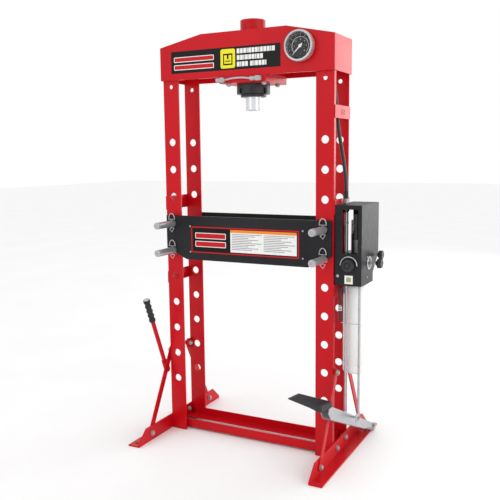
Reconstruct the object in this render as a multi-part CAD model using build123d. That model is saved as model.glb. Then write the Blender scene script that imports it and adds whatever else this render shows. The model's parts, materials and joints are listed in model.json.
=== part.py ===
from build123d import *
import os
from math import atan2, cos, degrees, pi, radians, sin, sqrt, tan

# Hydraulic shop press: an H-frame of four hole-punched posts, a ram hung in the
# head, a bed on pull-out pins and a foot-operated pump on the right-hand side.
# Millimetres. Origin on the floor under the ram's axis; +Z up, +X to the
# operator's right, -Y towards the operator.

# ---------------------------------------------------------------- frame sizes
pitch = 118.0             # spacing of the bed pin holes
hole_count = 10           # pin holes in each post
first_hole_z = 243.0
pin_hole_d = 32.0
post_x = 355.0            # centre of each post
post_face_y = 88.0        # outer face of the posts' webs
post_width = 76.0
post_flange = 20.0        # the front posts' outer edges turn back this far
lug_depth = 32.0          # tabs on the posts for the braces' top bolts
lug_height = 42.0
post_wall = 6.0
sight_hole_d = 18.0
sight_hole_drop = 26.0    # below the head

head_half_length = 398.0
head_bottom_z = 1567.0
head_end_height = 138.0
head_crown_height = 181.0
head_shoulder_x = 195.0
head_plate = 12.0
head_end_wall = 5.0
head_rib_x = 116.0
head_rib_wall = 10.0

# ---------------------------------------------------------------- base sizes
foot_wall = 6.0
foot_height = 65.0
foot_flange = 50.0
foot_half_length = 350.0
foot_top_half = 290.0     # the top edge ends here, then slopes to the toe
anchor_hole_d = 14.0
anchor_y = 322.0
brace_foot_y = 250.0
brace_foot_z = 32.0
brace_post_y = 70.0
brace_post_z = 364.0
brace_width = 28.0
brace_wall = 5.0
brace_boss_d = 20.0       # spacer between a brace and its lug
crossbar_web = 38.0
crossbar_flange = 49.0
crossbar_wall = 4.0
crossbar_reach = 362.0    # half length of the crossbars' upright web
front_crossbar_z = 8.0
rear_crossbar_z = 18.0
crossbar_bolt_inset = 13.0
crossbar_face_y = 65.0

# ---------------------------------------------------------------- ties and bolts
tie_wall = 4.0
lower_tie_z = 680.0
lower_tie_height = 52.0
upper_tie_z = 1011.0
upper_tie_height = 59.0
guard_z = 1387.0
guard_height = 51.0
bolt_head_d = 19.0
bolt_head = 8.0

# ---------------------------------------------------------------- ram sizes
ram_plate_half_x = 108.0
ram_plate_wall = 26.0
cylinder_od = 105.0
cylinder_bore = 82.0
cylinder_top_z = 1800.0
ring_nut_od = 140.0
ring_nut_height = 41.0
gland_od = 108.0
gland_lip = 12.0
gland_spigot = 30.0
rod_d = 66.0
rod_nose_z = 1431.0
rod_bore = 36.0
rod_floor = 34.0
nose_groove_z = 1452.0
piston_height = 32.0
stroke = 150.0
cap_flange = 12.0
cap_plug = 24.0
running_gap = 0.06        # radial clearance of the ram's sliding fits

# ---------------------------------------------------------------- bed sizes
bed_half_length = 388.0
bed_bottom_z = 795.0
bed_height = 192.0
bed_plate = 12.0
bed_chamfer_x = 101.0
bed_chamfer_z = 48.0
bed_spacer_x = 266.0
bed_spacer_inset = 45.0
bed_spacer_d = 30.0
pin_d = 30.0
pin_front = 127.0         # stands out in front of the bed
pin_rear = 25.0
lower_pin_hole = 5        # counted from the lowest hole, which is 0
clip_wire = 4.0
clip_ring_r = 13.0

# ---------------------------------------------------------------- gauge sizes
gauge_x = 260.0
gauge_z = 1664.0
gauge_od = 120.0
gauge_depth = 36.0
dial_d = 106.0
gauge_stem_d = 14.0

# ---------------------------------------------------------------- pump sizes
cover_width = 110.0
cover_front_y = -83.0
cover_rear_y = 140.0
cover_bottom_z = 729.0
cover_height = 320.0
cover_wall = 2.5
slot_x0, slot_x1 = 31.0, 95.0       # from the cover's inner side, clear of the socket
slot_z0, slot_z1 = 129.0, 303.0     # from the cover's bottom
tank_x = 453.0
tank_y = 20.0
tank_d = 106.0
tank_height = 376.0
tank_wall = 3.0
block_top_z = 852.0
motor_d = 56.0
motor_height = 130.0
rod_y = -50.0             # the two pedal rods hang in front of the tank
valve_rod_x = 433.0
pull_rod_x = 490.0
pedal_rod_d = 10.0
valve_knob_x = 455.0
valve_knob_z = 812.0
valve_knob_d = 50.0
valve_knob_shaft = 18.0
release_y = 14.0
release_z = 812.0
regulator_y = 76.0
regulator_z = 838.0
socket_x = 476.0
socket_pivot_z = 925.0
socket_d = 26.0
socket_length = 88.0
plunger_offset = 25.0
plunger_d = 12.0

# ---------------------------------------------------------------- pedal sizes
pedal_x = 440.0
pedal_pivot_y = 272.0
pedal_pivot_z = 26.0
pedal_rise = 25.5         # degrees above level when released
pedal_length = 628.0
pedal_width = 34.0
pedal_depth = 48.0        # side walls at the tread, less towards the hinge
pedal_top = 9.0           # top web above the hinge line
pedal_wall = 3.0
pedal_pin_d = 8.0
tread_x, tread_y = 378.0, -299.0
tread_top_z = 320.0
tread_length = 156.0
tread_depth = 70.0
tread_skew = 12.0         # degrees in plan, its left end further back
tab_slot_below = 6.2      # room under the cross pin in each rod's slot
tab_slot_above = 6.5
spring_height = 136.0

# ---------------------------------------------------------------- lever sizes
lever_x = -418.0
lever_foot_y = -82.0
lever_foot_z = 266.0
lever_lean = 22.2         # degrees from upright, towards the operator
lever_tube_d = 19.0
lever_length = 392.0
grip_length = 118.0
grip_d = 30.0
sleeve_d = 26.0
sleeve_length = 58.0

# ---------------------------------------------------------------- hose sizes
hose_d = 15.0
hose_points = [
    (413, 0, 1070), (413, 0, 1128), (404, 3, 1196), (393, 2, 1264),
    (381, -1, 1330), (373, 0, 1396), (368, 1, 1460), (361, -1, 1522),
    (348, 0, 1582), (320, 1, 1634), (271, 1, 1662), (213, 0, 1670),
    (152, 0, 1670),
]

# worked-out places
post_top_z = head_bottom_z + head_end_height - 15
post_outer_x = post_x + post_width / 2
foot_outer_x = post_outer_x + foot_wall
bed_face_y = post_face_y + bed_plate
head_face_y = post_face_y + head_plate
bed_top_z = bed_bottom_z + bed_height
pin_z = [first_hole_z + (lower_pin_hole + i) * pitch for i in (0, 1)]
cover_x0 = post_outer_x + tie_wall
cover_x1 = cover_x0 + cover_width
cover_top_z = cover_bottom_z + cover_height
ram_plate_z = head_bottom_z - ram_plate_wall
ring_nut_z = ram_plate_z - ring_nut_height
gland_z = ring_nut_z - gland_lip
parts = {}


# ---------------------------------------------------------------- helpers
def block(x0, x1, y0, y1, z0, z1):
    """A box between two opposite corners."""
    size = (abs(x1 - x0), abs(y1 - y0), abs(z1 - z0))
    return Pos((x0 + x1) / 2, (y0 + y1) / 2, (z0 + z1) / 2) * Box(*size)


def rod_x(diameter, x0, x1, y, z):
    """A round bar along X."""
    bar = Cylinder(diameter / 2, abs(x1 - x0), rotation=(0, 90, 0))
    return Pos((x0 + x1) / 2, y, z) * bar


def rod_y_axis(diameter, y0, y1, x, z):
    """A round bar along Y."""
    bar = Cylinder(diameter / 2, abs(y1 - y0), rotation=(90, 0, 0))
    return Pos(x, (y0 + y1) / 2, z) * bar


def rod_z(diameter, z0, z1, x, y):
    """A round bar along Z."""
    return Pos(x, y, (z0 + z1) / 2) * Cylinder(diameter / 2, abs(z1 - z0))


def hex_x(across, x0, x1, y, z):
    """A hexagon bar along X, such as a bolt head or a nut."""
    bar = extrude(RegularPolygon(across / sqrt(3), 6), abs(x1 - x0))
    return Pos(min(x0, x1), y, z) * Rot(0, 90, 0) * bar


def hex_z(across, z0, z1, x, y):
    """A hexagon bar along Z."""
    bar = extrude(RegularPolygon(across / sqrt(3), 6), abs(z1 - z0))
    return Pos(x, y, min(z0, z1)) * bar


def plate_xz(points, y0, y1):
    """A plate with an outline in XZ, from y0 to y1."""
    face = make_face(Polyline(*[(x, 0, z) for x, z in points], close=True))
    return Pos(0, min(y0, y1), 0) * extrude(face, abs(y1 - y0), dir=(0, 1, 0))


def plate_yz(points, x0, x1):
    """A plate with an outline in YZ, from x0 to x1."""
    face = make_face(Polyline(*[(0, y, z) for y, z in points], close=True))
    return Pos(min(x0, x1), 0, 0) * extrude(face, abs(x1 - x0), dir=(1, 0, 0))


def coil(radius, wire, height, turns, x, y, z):
    """A coil spring standing on z."""
    path = Helix(pitch=height / turns, height=height, radius=radius)
    section = Plane(path @ 0, z_dir=path % 0) * Circle(wire / 2)
    return Pos(x, y, z) * sweep(section, path=path, is_frenet=True)


def keep(name, *solids):
    """Files one sub-part, as one solid or as a group of separate ones."""
    found = []
    for shape in solids:
        found.extend(shape.solids())
    parts[name] = found[0] if len(found) == 1 else Compound(children=found)


# ---------------------------------------------------------------- frame
def make_posts():
    """Four webs with the bed's pin holes at one pitch; the front two are angles."""
    pin_holes = [first_hole_z + i * pitch for i in range(hole_count)]
    sight_z = head_bottom_z - sight_hole_drop
    for depth_name, front in (("front", -1), ("rear", 1)):
        for side_name, side in (("left", -1), ("right", 1)):
            x, face = side * post_x, front * post_face_y
            half = post_width / 2
            post = block(x - half, x + half, face, face - front * post_wall, 0, post_top_z)
            outer = (side * post_outer_x, side * (post_outer_x - post_wall))
            if front < 0:
                post += block(*outer, face, face - front * post_flange, 0, post_top_z)
            post += block(*outer, face, face - front * lug_depth,
                          brace_post_z - lug_height / 2, brace_post_z + lug_height / 2)
            web = (face - front * (post_wall + 1), face + front)
            for z in pin_holes:
                post -= rod_y_axis(pin_hole_d, *web, x, z)
            post -= rod_y_axis(sight_hole_d, *web, x, sight_z)
            keep(f"post_{depth_name}_{side_name}", post)


def head_outline():
    """The head plates' outline: level ends rising to a flat crown."""
    end_z = head_bottom_z + head_end_height
    crown_z = head_bottom_z + head_crown_height
    right = [(head_half_length, head_bottom_z), (head_half_length, end_z),
             (head_shoulder_x, crown_z)]
    return right + [(-x, z) for x, z in reversed(right)]


def make_head():
    """Two deep plates bolted over the posts, with end and rib plates between."""
    front = plate_xz(head_outline(), -head_face_y, -post_face_y)
    front -= rod_y_axis(gauge_stem_d + 2, -head_face_y - 1, -post_face_y + 1, gauge_x, gauge_z)
    keep("head_front_plate", front)
    keep("head_rear_plate", plate_xz(head_outline(), post_face_y, head_face_y))
    cross_plates = []
    for side in (-1, 1):
        end = (side * head_half_length, side * (head_half_length - head_end_wall))
        cross_plates.append(block(*end, -post_face_y, post_face_y, head_bottom_z,
                                  head_bottom_z + head_end_height))
        rib = block(side * head_rib_x, side * (head_rib_x - head_rib_wall),
                    -post_face_y, post_face_y, head_bottom_z,
                    head_bottom_z + head_crown_height - 10)
        if side > 0:
            rib_x = (head_rib_x - head_rib_wall - 1, head_rib_x + 1)
            rib -= rod_x(14, *rib_x, 0, hose_points[-1][2])
            rib -= rod_x(12, *rib_x, -post_face_y / 2, gauge_z)
        cross_plates.append(rib)
    keep("head_cross_plates", *cross_plates)


def make_base():
    """Two angle-iron feet, four braces and two crossbars between the feet."""
    half = foot_half_length
    outline = [(-half, 0), (half, 0), (half, 12), (foot_top_half, foot_height),
               (-foot_top_half, foot_height), (-half, 12)]
    for name, side in (("left", -1), ("right", 1)):
        web = plate_yz(outline, side * post_outer_x, side * foot_outer_x)
        edge = side * (foot_outer_x + foot_flange)
        foot = web + block(side * post_outer_x, edge, -half, half, 0, foot_wall)
        hole_x = side * (foot_outer_x + foot_flange / 2)
        for y in (-anchor_y, anchor_y):
            foot -= rod_z(anchor_hole_d, -1, foot_wall + 1, hole_x, y)
        keep(f"foot_{name}", foot)
    braces = []
    top_y = brace_post_y
    run, rise = brace_foot_y - top_y, brace_post_z - brace_foot_z
    length = sqrt(run ** 2 + rise ** 2)
    for side in (-1, 1):
        for front in (-1, 1):
            bar = block(0, brace_wall, -brace_width / 2, brace_width / 2,
                        -brace_width / 2, length + brace_width / 2)
            bar = Rot(front * degrees(atan2(run, rise)), 0, 0) * bar
            start = foot_outer_x if side > 0 else -foot_outer_x - brace_wall
            bar = Pos(start, front * brace_foot_y, brace_foot_z) * bar
            bar += rod_x(brace_boss_d, side * post_outer_x, side * (foot_outer_x + 1),
                         front * top_y, brace_post_z)
            braces.append(bar)
    keep("braces", *braces)
    for name, front, z in (("front", -1, front_crossbar_z), ("rear", 1, rear_crossbar_z)):
        face = front * crossbar_face_y
        web = block(-crossbar_reach, crossbar_reach, face, face - front * crossbar_wall,
                    z, z + crossbar_web)
        inner = face - front * crossbar_flange
        shelf = block(-post_outer_x, post_outer_x, face, inner, z, z + crossbar_wall)
        bar = web + shelf
        for side in (-1, 1):
            bar += block(side * post_outer_x, side * (post_outer_x - crossbar_wall),
                         face, inner, z, z + crossbar_web)
        keep(f"{name}_crossbar", bar)


def make_ties():
    """Flat plates that tie each front post to the post behind it."""
    def tie(side, z, height):
        return block(side * post_outer_x, side * (post_outer_x + tie_wall),
                     -post_face_y, post_face_y, z, z + height)

    levels = ((lower_tie_z, lower_tie_height), (upper_tie_z, upper_tie_height))
    keep("tie_plates", *[tie(side, *level) for side in (-1, 1) for level in levels])
    guard = tie(1, guard_z, guard_height)
    middle = guard_z + guard_height / 2
    for y in (-12, 12):
        guard -= block(post_outer_x - 1, post_outer_x + tie_wall + 1, y - 3, y + 3,
                       middle - 11, middle + 11)
    keep("hose_guard", guard)


def make_bolts():
    """Hexagon heads and nuts of the frame, all one pattern."""
    heads = []

    def bolt(face, away, y, z):
        heads.append(hex_x(bolt_head_d, face, face + away * bolt_head, y, z))

    for side in (-1, 1):
        outer = side * foot_outer_x
        inner = side * post_outer_x
        brace_outer = outer + side * brace_wall
        for front in (-1, 1):
            bolt(brace_outer, side, front * brace_foot_y, brace_foot_z)
            bolt(inner, -side, front * brace_foot_y, brace_foot_z)
            bolt(brace_outer, side, front * brace_post_y, brace_post_z)
            bolt(inner - side * post_wall, -side, front * brace_post_y, brace_post_z)
        for front, z in ((-1, front_crossbar_z), (1, rear_crossbar_z)):
            y = front * (crossbar_face_y - crossbar_bolt_inset)
            bolt_z = z + crossbar_web - crossbar_bolt_inset
            bolt(outer, side, y, bolt_z)
            bolt(inner - side * crossbar_wall, -side, y, bolt_z)
    for x in (-82, 82):
        for y in (-66, 66):
            heads.append(hex_z(bolt_head_d, ram_plate_z, ram_plate_z - bolt_head, x, y))
    keep("frame_bolts", *heads)


# ---------------------------------------------------------------- ram
def make_ram():
    """A single-acting cylinder through the ram plate, with its piston inside."""
    half = ram_plate_half_x
    plate = block(-half, half, -head_face_y, head_face_y, ram_plate_z, head_bottom_z)
    plate -= rod_z(cylinder_od, ram_plate_z - 1, head_bottom_z + 1, 0, 0)
    keep("ram_plate", plate)
    tube_bottom = ring_nut_z
    tube_top = cylinder_top_z - cap_flange
    tube = rod_z(cylinder_od, tube_bottom, tube_top, 0, 0)
    keep("cylinder_tube", tube - rod_z(cylinder_bore, tube_bottom - 1, tube_top + 1, 0, 0))
    cap = rod_z(cylinder_od, tube_top, cylinder_top_z, 0, 0)
    keep("cylinder_cap", cap + rod_z(cylinder_bore, tube_top - cap_plug, tube_top, 0, 0))
    nut = rod_z(ring_nut_od, ring_nut_z, ram_plate_z, 0, 0)
    nut -= rod_z(cylinder_od, ring_nut_z - 1, ram_plate_z + 1, 0, 0)
    for i in range(8):
        angle = radians(45 * i + 22.5)
        radius = ring_nut_od / 2
        slot = block(radius - 6, radius + 2, -6, 6, ring_nut_z - 1, ring_nut_z + 22)
        nut -= Rot(0, 0, degrees(angle)) * slot
    keep("ring_nut", nut)
    gland = rod_z(gland_od, gland_z, ring_nut_z, 0, 0)
    gland += rod_z(cylinder_bore, ring_nut_z, ring_nut_z + gland_spigot, 0, 0)
    gland -= rod_z(rod_d + 2 * running_gap, gland_z - 1, ring_nut_z + gland_spigot + 1, 0, 0)
    keep("rod_gland", gland)
    piston_z = ring_nut_z + gland_spigot + stroke + 8
    rod_top = piston_z + piston_height
    neck_d = rod_bore + 16
    rod = rod_z(rod_d, rod_nose_z, piston_z, 0, 0) + rod_z(neck_d, piston_z, rod_top, 0, 0)
    rod -= rod_z(rod_bore, rod_nose_z + rod_floor, rod_top + 1, 0, 0)
    rod = chamfer(rod.edges().group_by(Axis.Z)[0], 3)
    groove = rod_z(rod_d + 2, nose_groove_z, nose_groove_z + 3, 0, 0)
    groove -= rod_z(rod_d - 3, nose_groove_z - 1, nose_groove_z + 4, 0, 0)
    keep("piston_rod", rod - groove)
    piston_d = cylinder_bore - 2 * running_gap
    seal = rod_z(piston_d, piston_z + 13, piston_z + 19, 0, 0)
    seal -= rod_z(piston_d - 12, piston_z + 12, piston_z + 20, 0, 0)
    piston = rod_z(piston_d, piston_z, rod_top, 0, 0)
    piston -= rod_z(neck_d, piston_z - 1, rod_top + 1, 0, 0)
    keep("piston_head", piston - seal)
    keep("piston_seal", seal)
    spring_z = rod_nose_z + rod_floor + 3
    spring_top = tube_top - cap_plug - 3
    keep("ram_spring", coil(11, 4, spring_top - spring_z, 22, 0, 0, spring_z))


def make_feed_pipe():
    """A steel pipe bridging two ports on the front of the ram plate."""
    y, z = -head_face_y - 12, ram_plate_z + ram_plate_wall / 2
    left_x, right_x = -96.0, 66.0
    pieces = None
    for x, half in ((left_x, 20), (right_x, 25)):
        fitting = hex_x(20, x - half, x + half, y, z)
        fitting += rod_y_axis(14, y, -head_face_y, x, z)
        pieces = fitting if pieces is None else pieces + fitting
    pipe = rod_x(8, left_x + 20, right_x - 25, y, z)
    keep("feed_pipe", pieces + pipe)


# ---------------------------------------------------------------- gauge
def make_gauge():
    """A round pressure gauge on the front of the head, piped to the ram."""
    back, front = -head_face_y, -head_face_y - gauge_depth
    case_d = gauge_od - 6

    def disc(diameter, y0, y1):
        return rod_y_axis(diameter, y0, y1, gauge_x, gauge_z)

    case = disc(case_d, back, front + 6) - disc(dial_d, back - 8, front - 1)
    case += disc(gauge_stem_d, -post_face_y + 8, back)
    keep("gauge_case", case)
    bezel = disc(gauge_od, back - 6, front)
    bezel -= disc(case_d, back, front + 6) + disc(dial_d - 4, back, front - 1)
    keep("gauge_bezel", bezel)
    keep("gauge_lens", disc(dial_d, front + 6, front + 9))
    dial = disc(dial_d, back - 8, back - 10) - disc(6, back, front)
    keep("gauge_dial", dial)
    tail = Pos(gauge_x, 0, gauge_z) * Rot(0, -45, 0)
    needle_y = (back - 13, back - 14.5)
    needle = disc(14, *needle_y)
    needle += tail * plate_xz([(3, 0), (-46, 1), (-46, -1), (3, -0.5), (16, -3), (16, 3)],
                              *needle_y)
    needle += disc(5, back - 8.5, back - 13)
    keep("gauge_needle", needle)
    y = -post_face_y / 2
    start = -post_face_y + 8
    path = FilletPolyline((gauge_x, start, gauge_z), (gauge_x, y, gauge_z),
                          (cylinder_od / 2 + 18, y, gauge_z), radius=25)
    section = Plane(path @ 0, z_dir=path % 0) * Circle(3)
    pipe = sweep(section, path=path)
    reach = cylinder_od / 2 + 18
    pipe += rod_x(6, reach, sqrt((cylinder_od / 2) ** 2 - y ** 2) - 1, y, gauge_z)
    keep("gauge_pipe", pipe - rod_z(cylinder_od, gauge_z - 20, gauge_z + 20, 0, 0))


# ---------------------------------------------------------------- bed
def bed_outline():
    """The bed plates' outline, with sloping lower corners."""
    right = [(bed_half_length - bed_chamfer_x, bed_bottom_z),
             (bed_half_length, bed_bottom_z + bed_chamfer_z), (bed_half_length, bed_top_z)]
    return right + [(-x, z) for x, z in reversed(right)]


def make_bed():
    """Two plates in front of and behind the posts, held apart by spacers."""
    for name, front in (("front", -1), ("rear", 1)):
        face = (front * post_face_y, front * bed_face_y)
        plate = plate_xz(bed_outline(), *face)
        for x in (-post_x, post_x):
            for z in pin_z:
                plate -= rod_y_axis(pin_hole_d, face[0] - front, face[1] + front, x, z)
        keep(f"bed_{name}_plate", plate)
    spacers, screws = [], []
    levels = (bed_bottom_z + bed_spacer_inset - 10, bed_top_z - bed_spacer_inset)
    for x in (-bed_spacer_x, bed_spacer_x):
        for z in levels:
            spacers.append(rod_y_axis(bed_spacer_d, -post_face_y, post_face_y, x, z))
            for front in (-1, 1):
                face = front * bed_face_y
                screws.append(rod_y_axis(12, face, face + front * 3, x, z))
    keep("bed_spacers", *spacers)
    keep("bed_screws", *screws)
    clip_y = -bed_face_y - 9
    for side_name, side in (("left", -1), ("right", 1)):
        for level_name, z in zip(("lower", "upper"), pin_z):
            x = side * post_x
            pin = rod_y_axis(pin_d, -bed_face_y - pin_front, bed_face_y + pin_rear, x, z)
            pin = chamfer(pin.edges(), 2)
            pin -= rod_z(clip_wire + 1, z - pin_d, z + pin_d, x, clip_y)
            leg = rod_z(clip_wire, z - pin_d / 2 - 6, z + pin_d / 2 + 5, x, clip_y)
            ring = Torus(clip_ring_r, clip_wire / 2, rotation=(90, 0, 0))
            clip = leg + Pos(x, clip_y, z + pin_d / 2 + 4 + clip_ring_r) * ring
            keep(f"bed_pin_{side_name}_{level_name}", pin, clip)


# ---------------------------------------------------------------- pump
def cover_side(inset):
    """The pump cover's side outline, drawn in by inset."""
    top, bottom = cover_top_z - inset, cover_bottom_z
    front, rear = cover_front_y + inset, cover_rear_y - inset
    step_rear = cover_front_y + 150 - inset
    return [(front, bottom - 1 if inset else bottom), (front, top), (rear, top),
            (rear, cover_top_z - 210), (step_rear, cover_bottom_z + 38),
            (step_rear, bottom - 1 if inset else bottom)]


def make_pump_cover():
    """A folded sheet cover, open underneath and towards the posts."""
    cover = plate_yz(cover_side(0), cover_x0, cover_x1)
    cover -= plate_yz(cover_side(cover_wall), cover_x0 - 1, cover_x1 - cover_wall)
    front = (cover_front_y - 1, cover_front_y + cover_wall + 1)
    cover -= block(cover_x0 + slot_x0, cover_x0 + slot_x1, *front,
                   cover_bottom_z + slot_z0, cover_bottom_z + slot_z1)
    cover -= rod_y_axis(14, *front, valve_knob_x, valve_knob_z)
    side = (cover_x1 - cover_wall - 1, cover_x1 + 1)
    cover -= rod_x(46, *side, release_y, release_z)
    cover -= rod_x(16, *side, regulator_y, regulator_z)
    for z in (release_z + 26, release_z - 56):
        cover -= rod_x(5, *side, -8, z)
    top = (cover_top_z - cover_wall - 1, cover_top_z + 1)
    cover -= rod_z(hose_d + 9, *top, hose_points[0][0], hose_points[0][1])
    lip = block(cover_x0, cover_x0 + cover_wall, cover_front_y, cover_front_y + 18,
                cover_bottom_z, cover_top_z)
    keep("pump_cover", cover + lip)


def make_pump():
    """Pump block, air motor and the bottle-shaped oil tank under them."""
    block_z = cover_bottom_z + 8
    body = block(cover_x0 + 3, cover_x1 - 18, -22, 62, block_z, block_top_z)
    body += rod_x(40, cover_x1 - 18, cover_x1 + 4, release_y, release_z)
    body -= rod_x(13, cover_x1 - 40, cover_x1 + 5, release_y, release_z)
    x, y = socket_x, rod_y + plunger_offset
    body += block(x - 16, x + 16, y - 11, -22, block_top_z - 60, block_top_z - 10)
    body -= rod_z(plunger_d + 0.1, block_top_z - 61, block_top_z + 1, x, y)
    keep("pump_block", body)
    motor_x, motor_y = cover_x0 + 58, 30
    motor = rod_z(motor_d, block_top_z, block_top_z + motor_height, motor_x, motor_y)
    motor += rod_z(motor_d - 16, block_top_z + motor_height, block_top_z + motor_height + 14,
                   motor_x, motor_y)
    motor += rod_z(34, block_top_z, block_top_z + 40, motor_x + 6, 84 - 22)
    keep("air_motor", motor)
    top = cover_bottom_z
    tank = rod_z(tank_d, top - tank_height, top, tank_x, tank_y)
    tank = fillet(tank.edges(), 7)
    inside = rod_z(tank_d - 2 * tank_wall, top - tank_height + tank_wall, top - tank_wall,
                   tank_x, tank_y)
    tank += rod_z(60, top - 1, block_z, tank_x, tank_y)
    keep("oil_tank", tank - fillet(inside.edges(), 5))
    pivot = rod_x(8, socket_x - 20, socket_x + 20, rod_y, socket_pivot_z)
    bracket = block(socket_x - 20, socket_x - 16, rod_y - 10, rod_y + 10, block_top_z - 60,
                    socket_pivot_z + 10)
    bracket += block(socket_x + 16, socket_x + 20, rod_y - 10, rod_y + 10,
                     block_top_z - 60, socket_pivot_z + 10)
    for side in (-1, 1):
        bracket += block(socket_x + side * 16, socket_x + side * 20, rod_y + 10, -22,
                         block_top_z - 60, block_top_z - 10)
    keep("socket_bracket", bracket + pivot)
    lever = rod_z(socket_d, socket_pivot_z - 14, socket_pivot_z + socket_length,
                  socket_x, rod_y)
    lever -= rod_z(lever_tube_d + 1, socket_pivot_z + 16, socket_pivot_z + socket_length + 1,
                   socket_x, rod_y)
    lever += block(socket_x - 5, socket_x + 5, rod_y + 8, rod_y + plunger_offset + 9,
                   socket_pivot_z - 8, socket_pivot_z + 8)
    keep("pump_socket", lever - rod_x(8.16, socket_x - 30, socket_x + 30, rod_y, socket_pivot_z))
    keep("pump_plunger", rod_z(plunger_d, block_top_z - 50, socket_pivot_z - 13,
                               socket_x, rod_y + plunger_offset))


def make_knobs():
    """Front air valve knob, and the release and regulator knobs at the side."""
    def lobed(diameter, length, lobes, cut):
        knob = Cylinder(diameter / 2, length)
        for i in range(lobes):
            angle = 2 * pi * i / lobes
            radius = diameter / 2 + cut / 2
            knob -= Pos(radius * cos(angle), radius * sin(angle), 0) * Cylinder(cut, length + 2)
        return knob

    face = cover_front_y
    knob = rod_y_axis(valve_knob_d, face - 4, face - 22, valve_knob_x, valve_knob_z)
    knob = chamfer(knob.edges(), 2)
    knob += rod_y_axis(10, face - 4, face + valve_knob_shaft, valve_knob_x, valve_knob_z)
    keep("air_valve_knob", knob)
    release = Pos(cover_x1 + 42, release_y, release_z) * Rot(0, 90, 0) * lobed(40, 24, 6, 6)
    release += rod_x(12, cover_x1 - 30, cover_x1 + 31, release_y, release_z)
    keep("release_knob", release)
    regulator = Pos(cover_x1 + 28, regulator_y, regulator_z) * Rot(0, 90, 0)
    regulator = regulator * lobed(36, 22, 8, 4)
    regulator += rod_x(10, cover_x1 - 16, cover_x1 + 18, regulator_y, regulator_z)
    keep("regulator_knob", regulator)


# ---------------------------------------------------------------- pedal
def along_pedal(distance):
    """Y and Z of a point on the pedal arm's centre line."""
    rise = radians(pedal_rise)
    return pedal_pivot_y - distance * cos(rise), pedal_pivot_z + distance * sin(rise)


def make_pedal():
    """A long lever hinged at the back of the right foot, with its tread in front."""
    half, wall = pedal_width / 2, pedal_wall
    tilt = Pos(pedal_x, pedal_pivot_y, pedal_pivot_z) * Rot(-pedal_rise, 0, 0)
    walls = [(14, pedal_top), (14, -10), (-40, -12), (-130, pedal_top - 37),
             (38 - pedal_length, pedal_top - pedal_depth), (-pedal_length, pedal_top - 29),
             (-pedal_length, pedal_top)]
    arm = plate_yz(walls, -half, half)
    arm -= block(-half + wall, half - wall, -pedal_length - 1, 15, -pedal_depth,
                 pedal_top - wall)
    hinge_hole = rod_x(pedal_pin_d + 0.12, -half - 1, half + 1, 0, 0)
    pin_run = (pedal_pivot_y - rod_y) / cos(radians(pedal_rise))
    valve_x = valve_rod_x - pedal_x
    arm -= block(valve_x - 6, valve_x + 6, -pin_run - 52, -pin_run + 34, 0, pedal_depth)
    arm -= hinge_hole
    arm += rod_x(pedal_pin_d, -half, pull_rod_x + 9 - pedal_x, -pin_run, 0)
    keep("pedal_arm", tilt * arm)

    end = tread_length / 2
    outline = [(-end, -1), (4 - end, 0), (end, 0), (end, -24), (end - 18, -26),
               (end - 53, -18), (8 - end, -6), (-end, -4)]
    tread = plate_xz(outline, -tread_depth / 2, tread_depth / 2)
    tread = Pos(tread_x, tread_y, tread_top_z) * Rot(0, 0, -tread_skew) * tread
    tread -= tilt * block(-half, half, -pedal_length, 0, -pedal_depth, pedal_top)
    keep("pedal_tread", tread)

    base_z = foot_wall
    ear = half + 1
    base = block(pedal_x - ear - 4, pedal_x + ear + 4, pedal_pivot_y - 16, pedal_pivot_y + 16,
                 base_z, base_z + 3)
    bracket = base
    for side in (-1, 1):
        bracket += block(pedal_x + side * ear, pedal_x + side * (ear + 4),
                         pedal_pivot_y - 12, pedal_pivot_y + 12, base_z,
                         pedal_pivot_z + 12)
    bracket += rod_x(pedal_pin_d, pedal_x - ear - 8, pedal_x + ear + 8, pedal_pivot_y,
                     pedal_pivot_z)
    keep("pedal_bracket", bracket)

    pin_z_rest = along_pedal((pedal_pivot_y - rod_y) / cos(radians(pedal_rise)))[1]

    def slotted_tab(x):
        tab = block(x - 2, x + 2, rod_y - 32, rod_y + 10, pin_z_rest - 10, pin_z_rest + 22)
        slot = block(x - 3, x + 3, rod_y - 26, rod_y + 5, pin_z_rest - tab_slot_below,
                     pin_z_rest + tab_slot_above)
        return tab - slot

    rod = rod_z(pedal_rod_d, pin_z_rest + 22, cover_top_z - 30, valve_rod_x, rod_y)
    rod += slotted_tab(valve_rod_x)
    rod += hex_z(16, cover_top_z - 76, cover_top_z - 66, valve_rod_x, rod_y)
    keep("valve_rod", rod)
    rod = rod_z(pedal_rod_d, pin_z_rest + 22, cover_bottom_z + 52, pull_rod_x, rod_y)
    rod += slotted_tab(pull_rod_x)
    wire_z = cover_bottom_z - 152
    hook = (421, -78)
    wire = FilletPolyline((pull_rod_x, rod_y, wire_z - 8), (458, -66, wire_z - 4),
                          (hook[0], hook[1], wire_z), radius=60)
    wire = sweep(Plane(wire @ 0, z_dir=wire % 0) * Circle(1.5), path=wire)
    wire -= rod_z(pedal_rod_d, wire_z - 20, wire_z + 10, pull_rod_x, rod_y)
    keep("pull_rod", rod, wire)
    keep("pedal_spring", coil(9, 3, spring_height, 22, hook[0], hook[1], wire_z + 6))


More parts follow.
